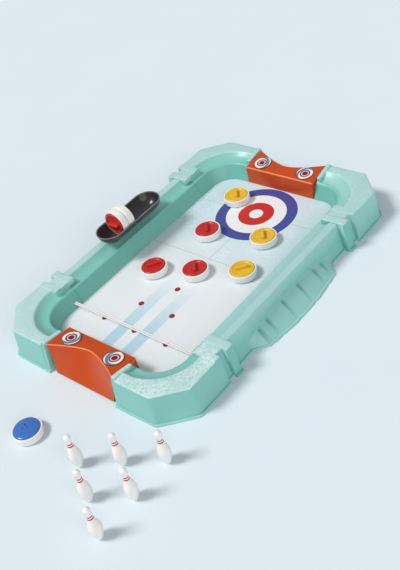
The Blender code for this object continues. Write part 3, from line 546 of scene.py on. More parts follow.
def bridge_section(section):
    """The low channel that the block stands on, with as many points as the full section."""
    outer = len(SKIN_CUTS) * ROUND_STEPS + 2
    inner = section.shape[1] - outer - 7
    top = np.linspace(GROOVE_BACK, BRIDGE_OUT, outer)
    upper = np.stack([np.append(top, BRIDGE_OUT), np.append(np.full(outer, BRIDGE_TOP), 0)], -1)
    back = np.linspace(BRIDGE_OUT - WALL, GROOVE_BACK + WALL, inner)
    lower = np.stack([np.append(back[0], back), np.append(0, 0 * back + BRIDGE_TOP - WALL)], -1)
    groove = section[0, -5:].copy()
    groove[-1] = [GROOVE_BACK, BRIDGE_GROOVE]
    return np.concatenate([upper, lower, groove])[None]


def end_frame_surface():
    """Carries the section along an end frame: out of the bridge, round a corner, down the arm.

    The corner is the least of its three facets' distances; the other half is the mirror image. The
    section changes on its way: the bridge under the block, the fin beside it, the collar's rib,
    the drop to the rail. It returns the far frame's points, painted shade on the inner wall, and
    the (pale, frost) numbers of the far frame and of the near one, which is the same turned round.
    """
    x = np.concatenate([BRIDGE_PATH, np.full(len(CORNER_PATH) + len(ARM_PATH), ARM_CENTRE)])
    y = np.concatenate([np.full(len(BRIDGE_PATH) + len(CORNER_PATH), END_CENTRE), ARM_PATH])
    turn = np.concatenate([0 * BRIDGE_PATH, CORNER_PATH, np.full(len(ARM_PATH), math.pi / 2)])
    sine, cosine = np.sin(turn), np.maximum(np.cos(turn), 1e-3)
    facets = [END_OUT / cosine, SIDE_OUT / np.maximum(sine, 1e-3),
              (SIDE_OUT + END_OUT - CORNER_CUT) / (sine + cosine)]
    drop, collar = (np.where(turn > ARM_TURN, 1 - eased(y, rib - SOFT / 2, rib + SOFT / 2), 0)
                    for rib in RIB[2:])
    reach = smooth_least(facets, FACET_SOFT) - COLLAR_DROP[0] * drop
    draft = CORNER_DRAFT + (RAIL_DRAFT - CORNER_DRAFT) * drop
    corners = skin_corners(reach, CORNER_HEIGHT - COLLAR_DROP[1] * drop, draft)
    rib_top = RECESS_HEIGHT + (RIB_HEIGHT - RECESS_HEIGHT) * eased(y, RIB[2], RIB[2] + SOFT)
    corners = raised_rib(corners, collar, reach, rib_top, RIB_START)
    on_fin = eased(x, *FIN_SIDES[:2]) * (1 - eased(x, *FIN_SIDES[2:])) * (turn == 0)
    fin = raised_rib(corners, np.ones_like(x), FIN_END[0] + RIB_LEAN, FIN_END[1], FIN_START[0])
    rise = (FIN_END[1] - FIN_START[1]) / (FIN_END[0] - FIN_START[0])
    fin[:, 4:8, 1] = FIN_START[1] + (fin[:, 4:8, 0] - FIN_START[0]) * rise
    fin[:, 3, 1] = FIN_START[1] - RIB_BEVEL
    corners = corners + (fin - corners) * on_fin[:, None, None]
    section, hidden = closed_section(corners, SKIN_CUTS)
    flat = bridge_section(section)
    full = np.where(hidden, eased(x, *UNDERSIDE_END)[:, None], eased(x, *BRIDGE_END)[:, None])
    r, z = np.moveaxis(flat + (section - flat) * full[..., None], -1, 0)
    points = np.stack([x[:, None] + r * np.sin(turn)[:, None],
                       y[:, None] + r * np.cos(turn)[:, None], z], -1)
    column = np.arange(r.shape[1])
    band_end, skin_end = EDGE_CORNER * ROUND_STEPS + 2, len(SKIN_CUTS) * ROUND_STEPS
    on_band = (column >= BAND_CORNER * ROUND_STEPS) & (column <= band_end)
    on_rib = (column > RIB_EDGE * ROUND_STEPS) & (column <= band_end)
    on_rib = on_rib & (np.maximum(collar, on_fin)[:, None] > 0.5)
    outer_wall = (column > band_end) & (column <= band_end + 3 + ROUND_STEPS)
    pale = np.maximum(on_band | on_rib, WALL_PALE * outer_wall) * (x > PALE_FROM)[:, None]
    top = eased(r, *TOP_RUN) * (z > TOP_FROM)
    flange = (column >= skin_end) & (column < skin_end + 3)
    cove = np.maximum(COVE_PALE * top, FLANGE_PALE * flange)
    looks = {quarter: (np.maximum(band * pale, np.maximum(low * top, cove)),
                       ice * (pale > 0.5) + low_ice * top)
             for quarter, (band, low, ice, low_ice) in QUARTERS.items()}
    ends = [[np.concatenate([first[:0:-1], second]) for first, second in zip(looks[a], looks[b])]
            for a, b in (("far_left", "far_right"), ("near_right", "near_left"))]
    # Painted shade: the inner wall, from the foot to the ridge, is darkened.
    deep = 1.0 * (column <= ROUND_STEPS) + 0 * top
    grid = np.concatenate([(points * [-1, 1, 1])[:0:-1], points])
    return grid, np.concatenate([deep[:0:-1], deep]), *ends


# The collar's rib on the rail: its stations and how far each draws in, then its outside and the
# lining 0.3 mm clear of the rail, as distances from the arm's centre line and heights.
COLLAR_PATH = np.array([97, 97.25, 97.7, 100, 104, 106.5, 106.95, 107.2]) * MM
COLLAR_DRAWN = np.array([0.7, 0.2, 0, 0, 0, 0, 0.2, 0.7])[:, None, None] * MM
COLLAR_OUTSIDE = np.array([
    (37.7, 28.9), (38, 35.5), (65.8, 35.5), (69.8, 2.4), (72, 2.4), (72, 0.3)]) * MM
COLLAR_CUTS = np.array([0, 0.9, 2.0, 0.0, 0.5, 0]) * MM
COLLAR_LINING = np.array([
    (65.2, 0.3), (65.2, 2.7), (63, 2.7), (57.5, 33.8), (48.5, 33.8), (43, 30)]) * MM
COLLAR_DRAWN_FROM = np.array([50, 3]) * MM
COLLAR_TOP = 34 * MM


def collar_surface(side):
    """That rib: outside and lining as one ring, carried along the arm, drawn in at its ends."""
    outside = softened(COLLAR_OUTSIDE[None], COLLAR_CUTS)
    outside = outside - COLLAR_DRAWN * (outside > COLLAR_DRAWN_FROM)
    lining = COLLAR_LINING[None].repeat(len(outside), 0)
    r, z = np.moveaxis(np.concatenate([outside, lining], 1), -1, 0)
    return np.stack([side * (ARM_CENTRE + r), COLLAR_PATH[:, None] + 0 * r, z], -1)


def attribute_value(tree, name):
    """A mesh attribute, as a value."""
    node = tree.nodes.new("ShaderNodeAttribute")
    node.attribute_name = name
    return node.outputs["Fac"]


MINTS = ((0.170, 0.475, 0.415), (0.205, 0.535, 0.475))
# The colour and share of the painted shade, on inner walls and in the grip's grooves.
PAINTED_SHADE_MINT, PAINTED_SHADE_SHARE = (0.105, 0.335, 0.290), 0.3
# The paler tone, also the colour of the painted highlight on the right rail and the grip.
PALE_AND_HIGHLIGHT_MINT, PALE_SHARE = (0.47, 0.66, 0.67), 0.80
FROST_WHITE, FROST_SHARE = (0.72, 0.81, 0.84), 0.62
CRYSTAL_SIZE, CRYSTAL_VEIN = 230, (0.20, 0.05)
WARP_SIZE, WARP_SHARE = 190, 0.006
FLAKE_RUN, PATCH_RUN = (0.50, 0.60), (0.32, 0.60)
FLAKE_SHARE, RELIEF_SHARE = 0.8, 0.6
MINT_ROUGHNESS, ICY_ROUGHNESS = 0.34, 0.2


def mint_finish():
    """Mint plastic, satin, with a trace of grain and drift.

    Three attributes mark the points: `pale` where it is paler, on bands and flanges, and where a
    highlight is painted on the right rail's top and grip; another where shade is painted in,
    darker on inner walls, in the grip's grooves and along its top edge; and `frost` where cracked
    ice is moulded in: cells' edges bent by noise, in patches, and flakes.
    """
    material, tree, shader = finish_material("mint_plastic", roughness=0.36, coat=0.08)
    place = object_place(tree)[0]
    pale, frost, deep = (attribute_value(tree, name) for name in ("pale", "frost", "deep"))
    shift = tree.nodes.new("ShaderNodeTexNoise")
    shift.inputs["Scale"].default_value = WARP_SIZE
    put(shift.inputs["Vector"], place)
    warp = tree.nodes.new("ShaderNodeMix")
    warp.data_type = "VECTOR"
    warp.inputs["Factor"].default_value = WARP_SHARE
    put(warp.inputs[4], place)
    put(warp.inputs[5], shift.outputs["Color"])
    crystal = tree.nodes.new("ShaderNodeTexVoronoi")
    crystal.feature = "DISTANCE_TO_EDGE"
    crystal.inputs["Scale"].default_value = CRYSTAL_SIZE
    put(crystal.inputs["Vector"], warp.outputs[1])
    veins = step(crystal.outputs["Distance"], *CRYSTAL_VEIN)
    flakes = step(noise(place, scale=330, detail=3, distortion=2.2), *FLAKE_RUN)
    patch = step(noise(place, scale=70, detail=3), *PATCH_RUN)
    icy = times(maths("MAXIMUM", times(veins, patch), times(flakes, FLAKE_SHARE)), frost)
    drift = grain(shader, strength=0.10, size=1500.0, relief=times(icy, RELIEF_SHARE))
    mint = mixed(drift, *MINTS)
    # Painted shade darkens the mint; paler tone, partly a painted highlight, lightens it.
    for mark, share, tone in ((deep, PAINTED_SHADE_SHARE, PAINTED_SHADE_MINT), (pale, PALE_SHARE, PALE_AND_HIGHLIGHT_MINT),
                              (icy, FROST_SHARE, FROST_WHITE)):
        mint = mixed(times(mark, share), mint, tone)
    put(shader.inputs["Base Color"], mint)
    put(shader.inputs["Roughness"], plus(times(icy, ICY_ROUGHNESS), MINT_ROUGHNESS))
    return material


MINT = mint_finish()
FRAME_SHARP = 38
COLLAR_PALE, COLLAR_FROST = 0.9, 0.3
far_grid, deep, far_looks, near_looks = end_frame_surface()
for end, sign, (pale, frost) in (("far", 1, far_looks), ("near", -1, near_looks)):
    parts = [surface(far_grid * [sign, sign, 1], FRAME_SHARP, pale=pale, frost=frost, deep=deep)]
    for side in (-1, 1):
        points = collar_surface(side) * [1, sign, 1]
        top = points[..., 2] > COLLAR_TOP
        parts.append(surface(points, FRAME_SHARP, pale=COLLAR_PALE * top,
                             frost=COLLAR_FROST * top, deep=0 * top))
    piece(end + "_frame_skin", joined(parts, FRAME_SHARP), MINT, "board", "mint_plastic",
          end + "_end_frame")

# Side rails: the same section carried straight between the collars, in the same mint plastic, with
# a ribbed grip along the foot for lifting the board. The bar across the middle holds the bed up.
RAIL_OUT = 57.2 * MM
RAIL_HEIGHT = 33.5 * MM
GRIP_HALF = 72 * MM
GRIP_TAPER = 58.4 * MM
GRIP_NOSE = 20 * MM
GRIP_REACH = (16.0 * MM, 11.2 * MM)
GRIP_TOP = (19.0 * MM, 9.2 * MM)
GRIP_CUT = 0.6 * MM
GRIP_STATIONS = 73
PLAIN_BREAK = (0.627, 14 * MM)
BREAK_CORNER, BASE_CORNER = 8, 9
GROOVES = np.array([-2, -1.5, -0.5, 0.5, 1.5, 2]) * 27.45 * MM
GROOVE_BESIDE = np.array([-3.0, -2.4, -2.1, -1.8, -0.9, 0, 0.9, 1.8, 2.1, 2.4, 3.0]) * MM
GROOVE_HALF = 2.0 * MM
GROOVE_RUN = (1.8 * MM, 2.5 * MM)
GROOVE_DEPTH = 2.8 * MM
GROOVE_FOOT = 0.2
RAIL_END = 105.7 * MM
RAIL_PATH = np.array([0, GRIP_NOSE, GRIP_TAPER, GRIP_HALF, GRIP_HALF + 0.4 * MM, 90 * MM, RAIL_END])
# How pale each rail's flange, band, rounded edge, break above the grip, and cove are. Bands and
# flanges are a paler plastic; the right rail's rounded edge and cove take a painted highlight.
RAIL_PALE_AND_HIGHLIGHT = {"right": (0.5, 0.75, 0.6, 0.0, 0.65), "left": (0.5, 1.0, 0.22, 0.1, 0.1)}
# The grip's face is lighter by a painted highlight.
FACE_PALE, GRIP_HIGHLIGHT = 0.1, 0.3
GROOVE_SPREAD, GROOVE_SHADE, BREAK_SHADE = 1.2, 3, 0.8


def rail_surface():
    """Carries the rail's section along Y; the outer face turns out into the grip on its way.

    The grip's foot stands out by a flat nose, a taper and a point; its top edge is a half ellipse.
    Its grooves are deepest at the top and run out at the foot. It returns the right rail's points,
    how much painted shade each carries, and how pale each is on either rail, painted highlights
    included.
    """
    y = np.concatenate([RAIL_PATH, -RAIL_PATH, np.linspace(-GRIP_HALF, GRIP_HALF, GRIP_STATIONS),
                        (GROOVES[:, None] + GROOVE_BESIDE).ravel()])
    y = np.unique(np.round(y, 7))
    far = np.minimum(np.abs(y), GRIP_HALF)
    stand = np.interp(far, [0, GRIP_NOSE, GRIP_TAPER, GRIP_HALF], [GRIP_REACH[0], *GRIP_REACH, 0])
    bulge = np.sqrt(1 - (far / GRIP_HALF) ** 2)
    on_grip = np.abs(y) <= GRIP_HALF
    nearest = np.abs(y[:, None] - GROOVES[None]).min(1)
    groove = GROOVE_DEPTH * (1 - eased(nearest, *GROOVE_RUN)) * on_grip
    top = GRIP_TOP[1] + (GRIP_TOP[0] - GRIP_TOP[1]) * bulge - groove
    corners = skin_corners(RAIL_OUT + 0 * y, RAIL_HEIGHT, RAIL_DRAFT)
    slope = (RAIL_HEIGHT - top) / (RAIL_HEIGHT - FLANGE[1])
    break_r = RAIL_OUT + RAIL_DRAFT * np.where(on_grip, slope, PLAIN_BREAK[0])
    break_z = np.where(on_grip, top, PLAIN_BREAK[1])
    corners = np.insert(corners, BREAK_CORNER, np.stack([break_r, break_z], -1), 1)
    corners[:, BASE_CORNER, 0] += np.where(on_grip, stand - GROOVE_FOOT * groove, 0)
    section = closed_section(corners, np.insert(SKIN_CUTS, BREAK_CORNER, GRIP_CUT))[0]
    r, z = np.moveaxis(section, -1, 0)
    points = np.stack([ARM_CENTRE + r, y[:, None] + 0 * r, z], -1)
    corner = (np.arange(r.shape[1]) + 0 * r) / ROUND_STEPS
    band_end, flange = EDGE_CORNER + 2 / ROUND_STEPS, BASE_CORNER + 1
    valley, face = corner == BREAK_CORNER, (corner > BREAK_CORNER) & (corner < flange)
    parts = [(corner >= flange) & (corner < flange + 3 / ROUND_STEPS),
             (corner >= BAND_CORNER) & (corner <= band_end),
             (corner > EDGE_CORNER) & (corner < BREAK_CORNER), valley,
             (corner > 1) & (corner < BAND_CORNER), face]
    # Painted shade in the grip's grooves and along its top edge; the grooves lose its highlight.
    in_groove = np.clip(GROOVE_SPREAD - nearest / GROOVE_HALF, 0, 1)[:, None]
    in_groove = in_groove * (corner > BREAK_CORNER) * (corner < BASE_CORNER)
    grip = (FACE_PALE + GRIP_HIGHLIGHT * on_grip[:, None]) * (1 - in_groove)
    grip_painted_shade = np.maximum(GROOVE_SHADE * in_groove * on_grip[:, None],
                         BREAK_SHADE * valley * bulge[:, None])
    pale = {side: np.select(parts, [*tones, grip]) for side, tones in RAIL_PALE_AND_HIGHLIGHT.items()}
    # Painted shade on the inner wall, foot to ridge, and on the grip's grooves and top edge.
    return points, np.maximum(corner <= 1, grip_painted_shade), pale


rail, deep, rail_pale_and_highlight = rail_surface()
for side, sign in (("right", 1), ("left", -1)):
    skin = surface(rail * [sign, sign, 1], sharp=34, pale=rail_pale_and_highlight[side], frost=0 * deep,
                   deep=deep)
    piece(side + "_rail_skin", skin, MINT, "board", "mint_plastic", side + "_side_rail")
dress("bed_support_bar", MINT)

# End blocks: glossy orange mouldings screwed to the end frames. Their flat tops rise outwards to a
# curved edge, deepest at the corners, and one hollow face slopes from it down to the table.
BLOCK_HALF = 47.9 * MM
BLOCK_RIDGE = 31 * MM
BLOCK_PEAK = 35 * MM
BLOCK_DEPTH = 33.5 * MM
BLOCK_MIDDLE = 17 * MM
BLOCK_EDGE_POWER = 1.4
BLOCK_EDGE_SOFT = 0.02
BLOCK_SKIRT = (38 * MM, 1.5 * MM)
BLOCK_SKIRT_THICK = 8.9 * MM
BLOCK_NARROW = 6.0 * MM
BLOCK_HOLLOW = 1.2 * MM
BLOCK_ROUND = 1.3 * MM
BLOCK_CUTS = np.array([0, 1.6, 1.0, 1.2, 0.8, 0.8, 0.8, 0]) * MM
BLOCK_SLOPE_SHARES = (0.25, 0.5, 0.75)
BLOCK_SLOPE_FROM = 0.9
BLOCK_STEPS = 6
BLOCK_SIDE_STEPS = 7
BLOCK_ROWS = 61
HALF_LENGTH = 153 * MM


def block_surface():
    """The block's skin: rows run across it, columns from the inner face over the top and down.

    The top's edge lies at the middle depth plus a power of the place across; the slope below it is
    a straight line less a parabola of the hollow. Towards either side a quarter circle draws the
    section in. It returns the far block's points and marks the thin edges among them, which take a
    painted highlight.
    """
    bend = np.linspace(0, math.pi / 2, BLOCK_SIDE_STEPS)[1:]
    flat = BLOCK_HALF - BLOCK_ROUND
    end, quarter = flat + BLOCK_ROUND * np.sin(bend), 1 - np.cos(bend)
    x = np.concatenate([-end[::-1], np.linspace(-1, 1, BLOCK_ROWS) * flat, end])
    drawn = np.concatenate([quarter[::-1], np.zeros(BLOCK_ROWS), quarter])[:, None] * BLOCK_ROUND
    power = BLOCK_EDGE_POWER / 2
    spread = ((x / BLOCK_HALF) ** 2 + BLOCK_EDGE_SOFT) ** power - BLOCK_EDGE_SOFT ** power
    edge = BLOCK_MIDDLE + (BLOCK_DEPTH - BLOCK_MIDDLE) * spread / spread.max()
    rise = (BLOCK_PEAK - BLOCK_RIDGE) / BLOCK_DEPTH
    crest = BLOCK_RIDGE + rise * edge
    out, foot = BLOCK_SKIRT
    slope = [(edge + (out - edge) * share - BLOCK_HOLLOW * 4 * share * (1 - share),
              crest + (foot - crest) * share) for share in BLOCK_SLOPE_SHARES]
    section = polylines(x, (0, WALL_FOOT), (0, BLOCK_RIDGE), (edge / 2, (BLOCK_RIDGE + crest) / 2),
                        (edge, crest), *slope, BLOCK_SKIRT)
    section = softened(moved_in(section, drawn[..., None]), BLOCK_CUTS, BLOCK_STEPS)
    back = out - BLOCK_SKIRT_THICK
    section = np.concatenate([section, polylines(x, (back, foot), (back, WALL_FOOT))], 1)
    depth, height = section[..., 0], np.maximum(section[..., 1], foot)
    x, edge, crest = x[:, None], edge[:, None], crest[:, None]
    low = x * (BLOCK_HALF - BLOCK_NARROW) / BLOCK_HALF
    fallen = np.clip((crest - height) / (crest - foot), 0, 1) * (depth > edge * BLOCK_SLOPE_FROM)
    column, within = np.divmod(np.arange(depth.shape[1]), BLOCK_STEPS)
    # Painted highlight on the ridge, on the top's outer edge and on the slope's rounded sides.
    edges = ((column == 1) | (column == 3)) & (within > 0) & (within < BLOCK_STEPS - 1)
    side = np.sqrt(np.clip(drawn * (2 * BLOCK_ROUND - drawn), 0, None)) * (BLOCK_ROUND - drawn)
    rim = np.maximum(edges, side * 2 / BLOCK_ROUND ** 2 * (column >= 3) * (column < 8))
    return np.stack([x + (low - x) * fallen, HALF_LENGTH + depth, height], -1), rim


def plastic(name, low, high, roughness, coat, size=1600.0, rim=None, share=0.0):
    """A moulded plastic: two close tones that drift, and fine grain. `rim` is a painted highlight's
    colour on the thin edges that the mesh marks.
    """
    material, tree, shader = finish_material(name, roughness, coat)
    colour = mixed(grain(shader, strength=0.05, size=size), low, high)
    if rim:
        colour = mixed(times(attribute_value(tree, "rim"), share), colour, rim)
    put(shader.inputs["Base Color"], colour)
    return material


# A painted highlight lightens the orange plastic's thin edges.
ORANGE = plastic("orange_plastic", (0.47, 0.048, 0.003), (0.55, 0.070, 0.006),
                 roughness=0.30, coat=0.06, size=900.0, rim=(0.86, 0.25, 0.09), share=0.7)
block, block_highlight = block_surface()
for end, sign in (("far", 1), ("near", -1)):
    skin = surface(block * [sign, sign, 1], sharp=40, rim=block_highlight)
    piece(end + "_block_skin", skin, ORANGE, "board", "orange_plastic", end + "_end_block")

# Emblem plates: thin round printed plates on the blocks' tops, a plain target with an arc beside it
# on white. They keep their CAD plates and are printed by the same rule on all four.
EMBLEM = (30.5 * MM, 165.8 * MM)
EMBLEM_RIM = (9.9 * MM, 10.1 * MM)
TARGET = (EMBLEM[0] + 0.8 * MM, EMBLEM[1] - 0.6 * MM)
TARGET_RINGS = ((6.5 * MM, 6.2 * MM, (0.38, 0.025, 0.03)), (4.6 * MM, 4.3 * MM, (0.70, 0.60, 0.60)),
                (3.5 * MM, 3.2 * MM, (0.10, 0.015, 0.035)))
ARC_CENTRE = (EMBLEM[0] + 3 * MM, EMBLEM[1] - 2 * MM)
ARC_RADIUS, ARC_HALF, ARC_SOFT = 10.6 * MM, 1.5 * MM, 0.4 * MM
EMBLEM_WHITES = ((0.78, 0.77, 0.74), (0.84, 0.83, 0.80))
ARC_BLUE = (0.08, 0.22, 0.34)
RIM_DARK = (0.10, 0.02, 0.03)
emblem_finish, tree, shader = finish_material("emblem_print", roughness=0.24, coat=0.25)
place, x, y, z = object_place(tree)
wide, long = maths("ABSOLUTE", x), maths("ABSOLUTE", y)
ink = mixed(noise(place, scale=120), *EMBLEM_WHITES)
arc = strip(away_from(wide, long, *ARC_CENTRE), ARC_RADIUS, ARC_HALF, ARC_SOFT)
ink = mixed(arc, ink, ARC_BLUE)
rim = step(away_from(wide, long, *EMBLEM), *EMBLEM_RIM)
ink = mixed(rim, ink, RIM_DARK)
from_target = away_from(wide, long, *TARGET)
for outer, inner, tone in TARGET_RINGS:
    ink = mixed(step(from_target, outer, inner), ink, tone)
put(shader.inputs["Base Color"], ink)
grain(shader, strength=0.03, size=1800.0)
PLACES = [f"{end}_{side}" for end in ("near", "far") for side in ("left", "right")]
for corner in PLACES:
    dress(corner + "_emblem_plate", emblem_finish)

# Block screws: zinc-plated pan heads, driven up through the bridge of each end frame to hold its
# block. They are seen only from below, and keep their CAD shapes.
STEELS = ((0.50, 0.50, 0.51), (0.62, 0.62, 0.63))
steel_finish, tree, shader = finish_material("zinc_steel", roughness=0.3)
shader.inputs["Metallic"].default_value = 1.0
put(shader.inputs["Base Color"], mixed(grain(shader, strength=0.15, size=2600.0), *STEELS))
for corner in PLACES:
    dress(corner + "_block_screw", steel_finish)

# Launch cord: two strands of white braided elastic side by side, taut between the near frame's
# walls and knotted behind them. Its halves meet at the middle, which is drawn back to launch.
STRAND_RADIUS = 0.8 * MM
STRAND_OFFSET = 1.1 * MM
CORD_Y = -113.4 * MM
CORD_Z = 15 * MM
CORD_STEPS, CORD_SIDES, KNOT_STEPS = 330, 16, 27
CORD_SHARP = 80
KNOT_AT = 96.15 * MM
KNOT_RADIUS = 2.5 * MM
BRAID_STRANDS, BRAID_PITCH, BRAID_DEPTH = 4, 2100, 0.06
BRAID_WHITES = ((0.70, 0.71, 0.71), (0.86, 0.86, 0.85))
WEAVE_SIZE, WEAVE_BEND = 180, 1.5


def full_turn(count):
    """The angles of so many equal steps round a circle."""
    return np.linspace(0, math.tau, count, endpoint=False)


def tube_surface(along, radius, offset=0.0):
    """A tube along X at the cord's height, its radius rippled by the braid: two crossed helices."""
    along, radius = along[:, None], radius[:, None]
    turn = full_turn(CORD_SIDES)
    around, forth = BRAID_STRANDS * turn, along * BRAID_PITCH
    radius = radius * (1 + BRAID_DEPTH * np.cos(around + forth) * np.cos(around - forth))
    return np.stack([along + 0 * turn, CORD_Y + offset + radius * np.cos(turn),
                     CORD_Z + radius * np.sin(turn)], -1)


cord_finish, tree, shader = finish_material("braided_elastic", roughness=0.62)
place = object_place(tree)[0]
weave = tree.nodes.new("ShaderNodeTexWave")
weave.inputs["Scale"].default_value = WEAVE_SIZE
weave.inputs["Distortion"].default_value = WEAVE_BEND
put(weave.inputs["Vector"], place)
put(shader.inputs["Base Color"], mixed(weave.outputs["Fac"], *BRAID_WHITES))
grain(shader, strength=0.3, size=3000.0)
across_knot = np.linspace(-math.pi / 2, math.pi / 2, KNOT_STEPS)
for side, sign in (("left", -1), ("right", 1)):
    reach = np.linspace(*sorted((0, sign * KNOT_AT)), CORD_STEPS)
    strands = [surface(tube_surface(reach, STRAND_RADIUS + 0 * reach, offset), CORD_SHARP)
               for offset in (-STRAND_OFFSET, STRAND_OFFSET)]
    knot = tube_surface(sign * KNOT_AT + KNOT_RADIUS * np.sin(across_knot),
                        KNOT_RADIUS * np.cos(across_knot))
    cord_mesh = joined([*strands, surface(knot, CORD_SHARP, caps=False)], CORD_SHARP)
    half = piece(f"launch_cord_{side}", cord_mesh, cord_finish, None, "elastic", "elastic_cord")
    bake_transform(half)

# Pucks: a white cup with a rounded rim, and a coloured cap pressed into it. A curling puck's cap
# carries a low bar as its handle; the bowling puck's is a glossy dome with three finger holes.
PUCK_SEGMENTS = 72
ICE_TOP = 9.3
CUP_CORNERS = np.array([
    (0, 4.5), (13.8, 4.5), (13.8, 8.8), (15.5, 8.8), (15.5, 1.2), (14, 0), (0, 0)]) * MM
CUP_CUTS = np.array([0, 0.3, 0.5, 0.9, 0.6, 0.5, 0]) * MM
CAP_CORNERS = np.array([
    (0, 9), (10.1, 9), (10.9, 9.7), (12.7, 9.7), (13.5, 9.2), (13.5, 4.8), (0, 4.8)]) * MM
CAP_CUTS = np.array([0, 0.5, 0.4, 0.5, 0.3, 0.2, 0]) * MM
HANDLE_HEIGHTS = np.array([8.8, 12.0, 12.9, 13.25, 13.3])[:, None] * MM
HANDLE_WIDTHS = np.array([1.8, 1.7, 1.5, 1.1, 0.0])[:, None] * MM
HANDLE_LENGTHS = np.array([7.5, 7.4, 7.15, 6.6, 5.2])[:, None] * MM
HANDLE_POWER = 0.35
HANDLE_SEGMENTS = 48


def turned(profile, segments=PUCK_SEGMENTS):
    """A profile of (radius, height) points turned about Z, as a grid."""
    angle = full_turn(segments)
    radius, height = profile[:, :1], profile[:, 1:]
    return np.stack([radius * np.cos(angle), radius * np.sin(angle), height + 0 * angle], -1)


def handle_surface():
    """The handle: a bar with rounded ends and shoulders, a superellipse that narrows upwards."""
    angle = full_turn(HANDLE_SEGMENTS)
    x = HANDLE_LENGTHS * np.sign(np.cos(angle)) * np.abs(np.cos(angle)) ** HANDLE_POWER
    y = HANDLE_WIDTHS * np.sign(np.sin(angle)) * np.abs(np.sin(angle)) ** HANDLE_POWER
    return np.stack([x, y, HANDLE_HEIGHTS + 0 * angle], -1)


cup_grid = turned(softened(CUP_CORNERS[None], CUP_CUTS, steps=6)[0])
cap_grid = turned(softened(CAP_CORNERS[None], CAP_CUTS)[0])


def set_down(grid, where, turn=0.0, edge=None, sharp=40, caps=False):
    """The skin of a grid turned about Z, or stood on edge facing -Y or +Y, at its place."""
    if edge is None:
        c, s = math.cos(turn), math.sin(turn)
        spin = np.array([[c, -s, 0], [s, c, 0], [0, 0, 1]])
    else:
        spin = np.array([[edge, 0, 0], [0, 0, -edge], [0, 1, 0]])
    return surface(grid @ spin.T + where, sharp, caps)


WHITE = plastic("white_plastic", (0.78, 0.77, 0.74), (0.84, 0.83, 0.81), roughness=0.3, coat=0.2)
RED = plastic("red_plastic", (0.47, 0.016, 0.014), (0.55, 0.026, 0.02), roughness=0.32, coat=0.12)
YELLOW = plastic("yellow_plastic", (0.70, 0.41, 0.018), (0.77, 0.48, 0.030),
                 roughness=0.34, coat=0.12)
BLUE = plastic("blue_plastic", (0.035, 0.13, 0.46), (0.05, 0.17, 0.54), roughness=0.14, coat=0.6)


def puck(colour, number, finish, where, turn=0.0, edge=None):
    """One puck: its cup and its cap with the handle, placed, finished and riding on its body."""
    name, where = f"{colour}_puck_{number}", np.array(where) * MM
    cup = set_down(cup_grid, where, turn, edge)
    piece(name + "_cup", cup, WHITE, name, "white_plastic", name + "_base")
    cap = set_down(cap_grid, where, turn, edge, sharp=50)
    bar = set_down(handle_surface(), where, turn, edge, sharp=50, caps=True)
    top = joined([cap, bar], sharp=50)
    piece(name + "_top", top, finish, name, colour + "_plastic", name + "_cap")


# Places on the ice in millimetres and the handles' turns in degrees; the fourth pucks are racked.
CURLING_PUCKS = (
    ("red", RED, ((-43.86, -28.92, 49), (3.4, -12.24, 134), (-28.39, 48.65, 133))),
    ("yellow", YELLOW, ((-37.06, 116.13, 130), (40.37, 64.57, 129), (53.04, 8.87, 46))))
for colour, finish, places in CURLING_PUCKS:
    for number, (px, py, turn) in enumerate(places, 1):
        puck(colour, number, finish, (px, py, ICE_TOP), math.radians(turn))
puck("red", 4, RED, (-102.9, -9.6, 50.8), edge=1)
puck("yellow", 4, YELLOW, (-102.9, -9.2, 50.8), edge=-1)

BOWL_AT = np.array([-6.0, -262.0, 0.0]) * MM
BOWL_TURN = math.radians(24)
DOME_RADIUS, DOME_EDGE, DOME_RISE = 13.5 * MM, 9.7 * MM, 2.6 * MM
DOME_SKIRT = np.array([(13.35, 9.7), (13.5, 9.4), (13.5, 4.8), (0, 4.8)]) * MM
DOME_SHARES = np.concatenate([np.linspace(0, 0.45, 40), np.linspace(0.47, 0.96, 20)])[:, None]
DOME_SEGMENTS = 120
HOLE_RING, HOLE_DEPTH, HOLE_RUN = 2.6 * MM, 1.2 * MM, (0.85 * MM, 1.25 * MM)


def dome_surface():
    """The dome with its finger holes: a parabola less a smooth pit about each of three places."""
    angle = full_turn(DOME_SEGMENTS)
    x = DOME_RADIUS * DOME_SHARES * np.cos(angle)
    y = DOME_RADIUS * DOME_SHARES * np.sin(angle)
    z = DOME_EDGE + DOME_RISE * (1 - DOME_SHARES ** 2) + 0 * angle
    for hole in np.arange(3) * math.tau / 3:
        apart = np.hypot(x - HOLE_RING * math.cos(hole), y - HOLE_RING * math.sin(hole))
        z = z - HOLE_DEPTH * (1 - eased(apart, *HOLE_RUN))
    return np.concatenate([np.stack([x, y, z], -1), turned(DOME_SKIRT, DOME_SEGMENTS)])


cup = set_down(cup_grid, BOWL_AT, BOWL_TURN)
piece("bowling_cup", cup, WHITE, "bowling_puck", "white_plastic", "bowling_puck_base")
dome = set_down(dome_surface(), BOWL_AT, BOWL_TURN, sharp=60)
piece("bowling_dome", dome, BLUE, "bowling_puck", "blue_plastic", "bowling_puck_cap")

# Puck rack: a black tray like half a capsule, on a saddle that sits on the left rail's band and
# hooks over its outer edge. Pucks stand in it on edge.
RACK_AXIS = np.array([-102.9, 4.2, 50.9]) * MM
RACK_OUTER = 17.5 * MM
RACK_INNER = 15.9 * MM
RACK_RIM = 2.5 * MM
RACK_RIM_EASE = (0.25 * MM, 0.2 * MM)
RACK_STRAIGHT = 30.5 * MM
RACK_RINGS, RACK_SEGMENTS = 22, 96
RACK_SHARP = 40
SADDLE = np.array([
    (-118.6, 26.3), (-118.6, 33.8), (-105, 33.8), (-105, 34.3), (-109, 35.35), (-113, 37.6),
    (-117, 41.95), (-120.1, 35.3), (-120.1, 26.3)]) * MM
SADDLE_CUTS = np.array([0, 0.3, 0.15, 0.15, 0.5, 0.5, 0.5, 0.9, 0]) * MM
SADDLE_PATH = np.array([-29, -28.6, 28.6, 29]) * MM
SADDLE_DRAWN = np.array([0.25, 0, 0, 0.25])[:, None] * MM
SADDLE_OUT = -119.5 * MM


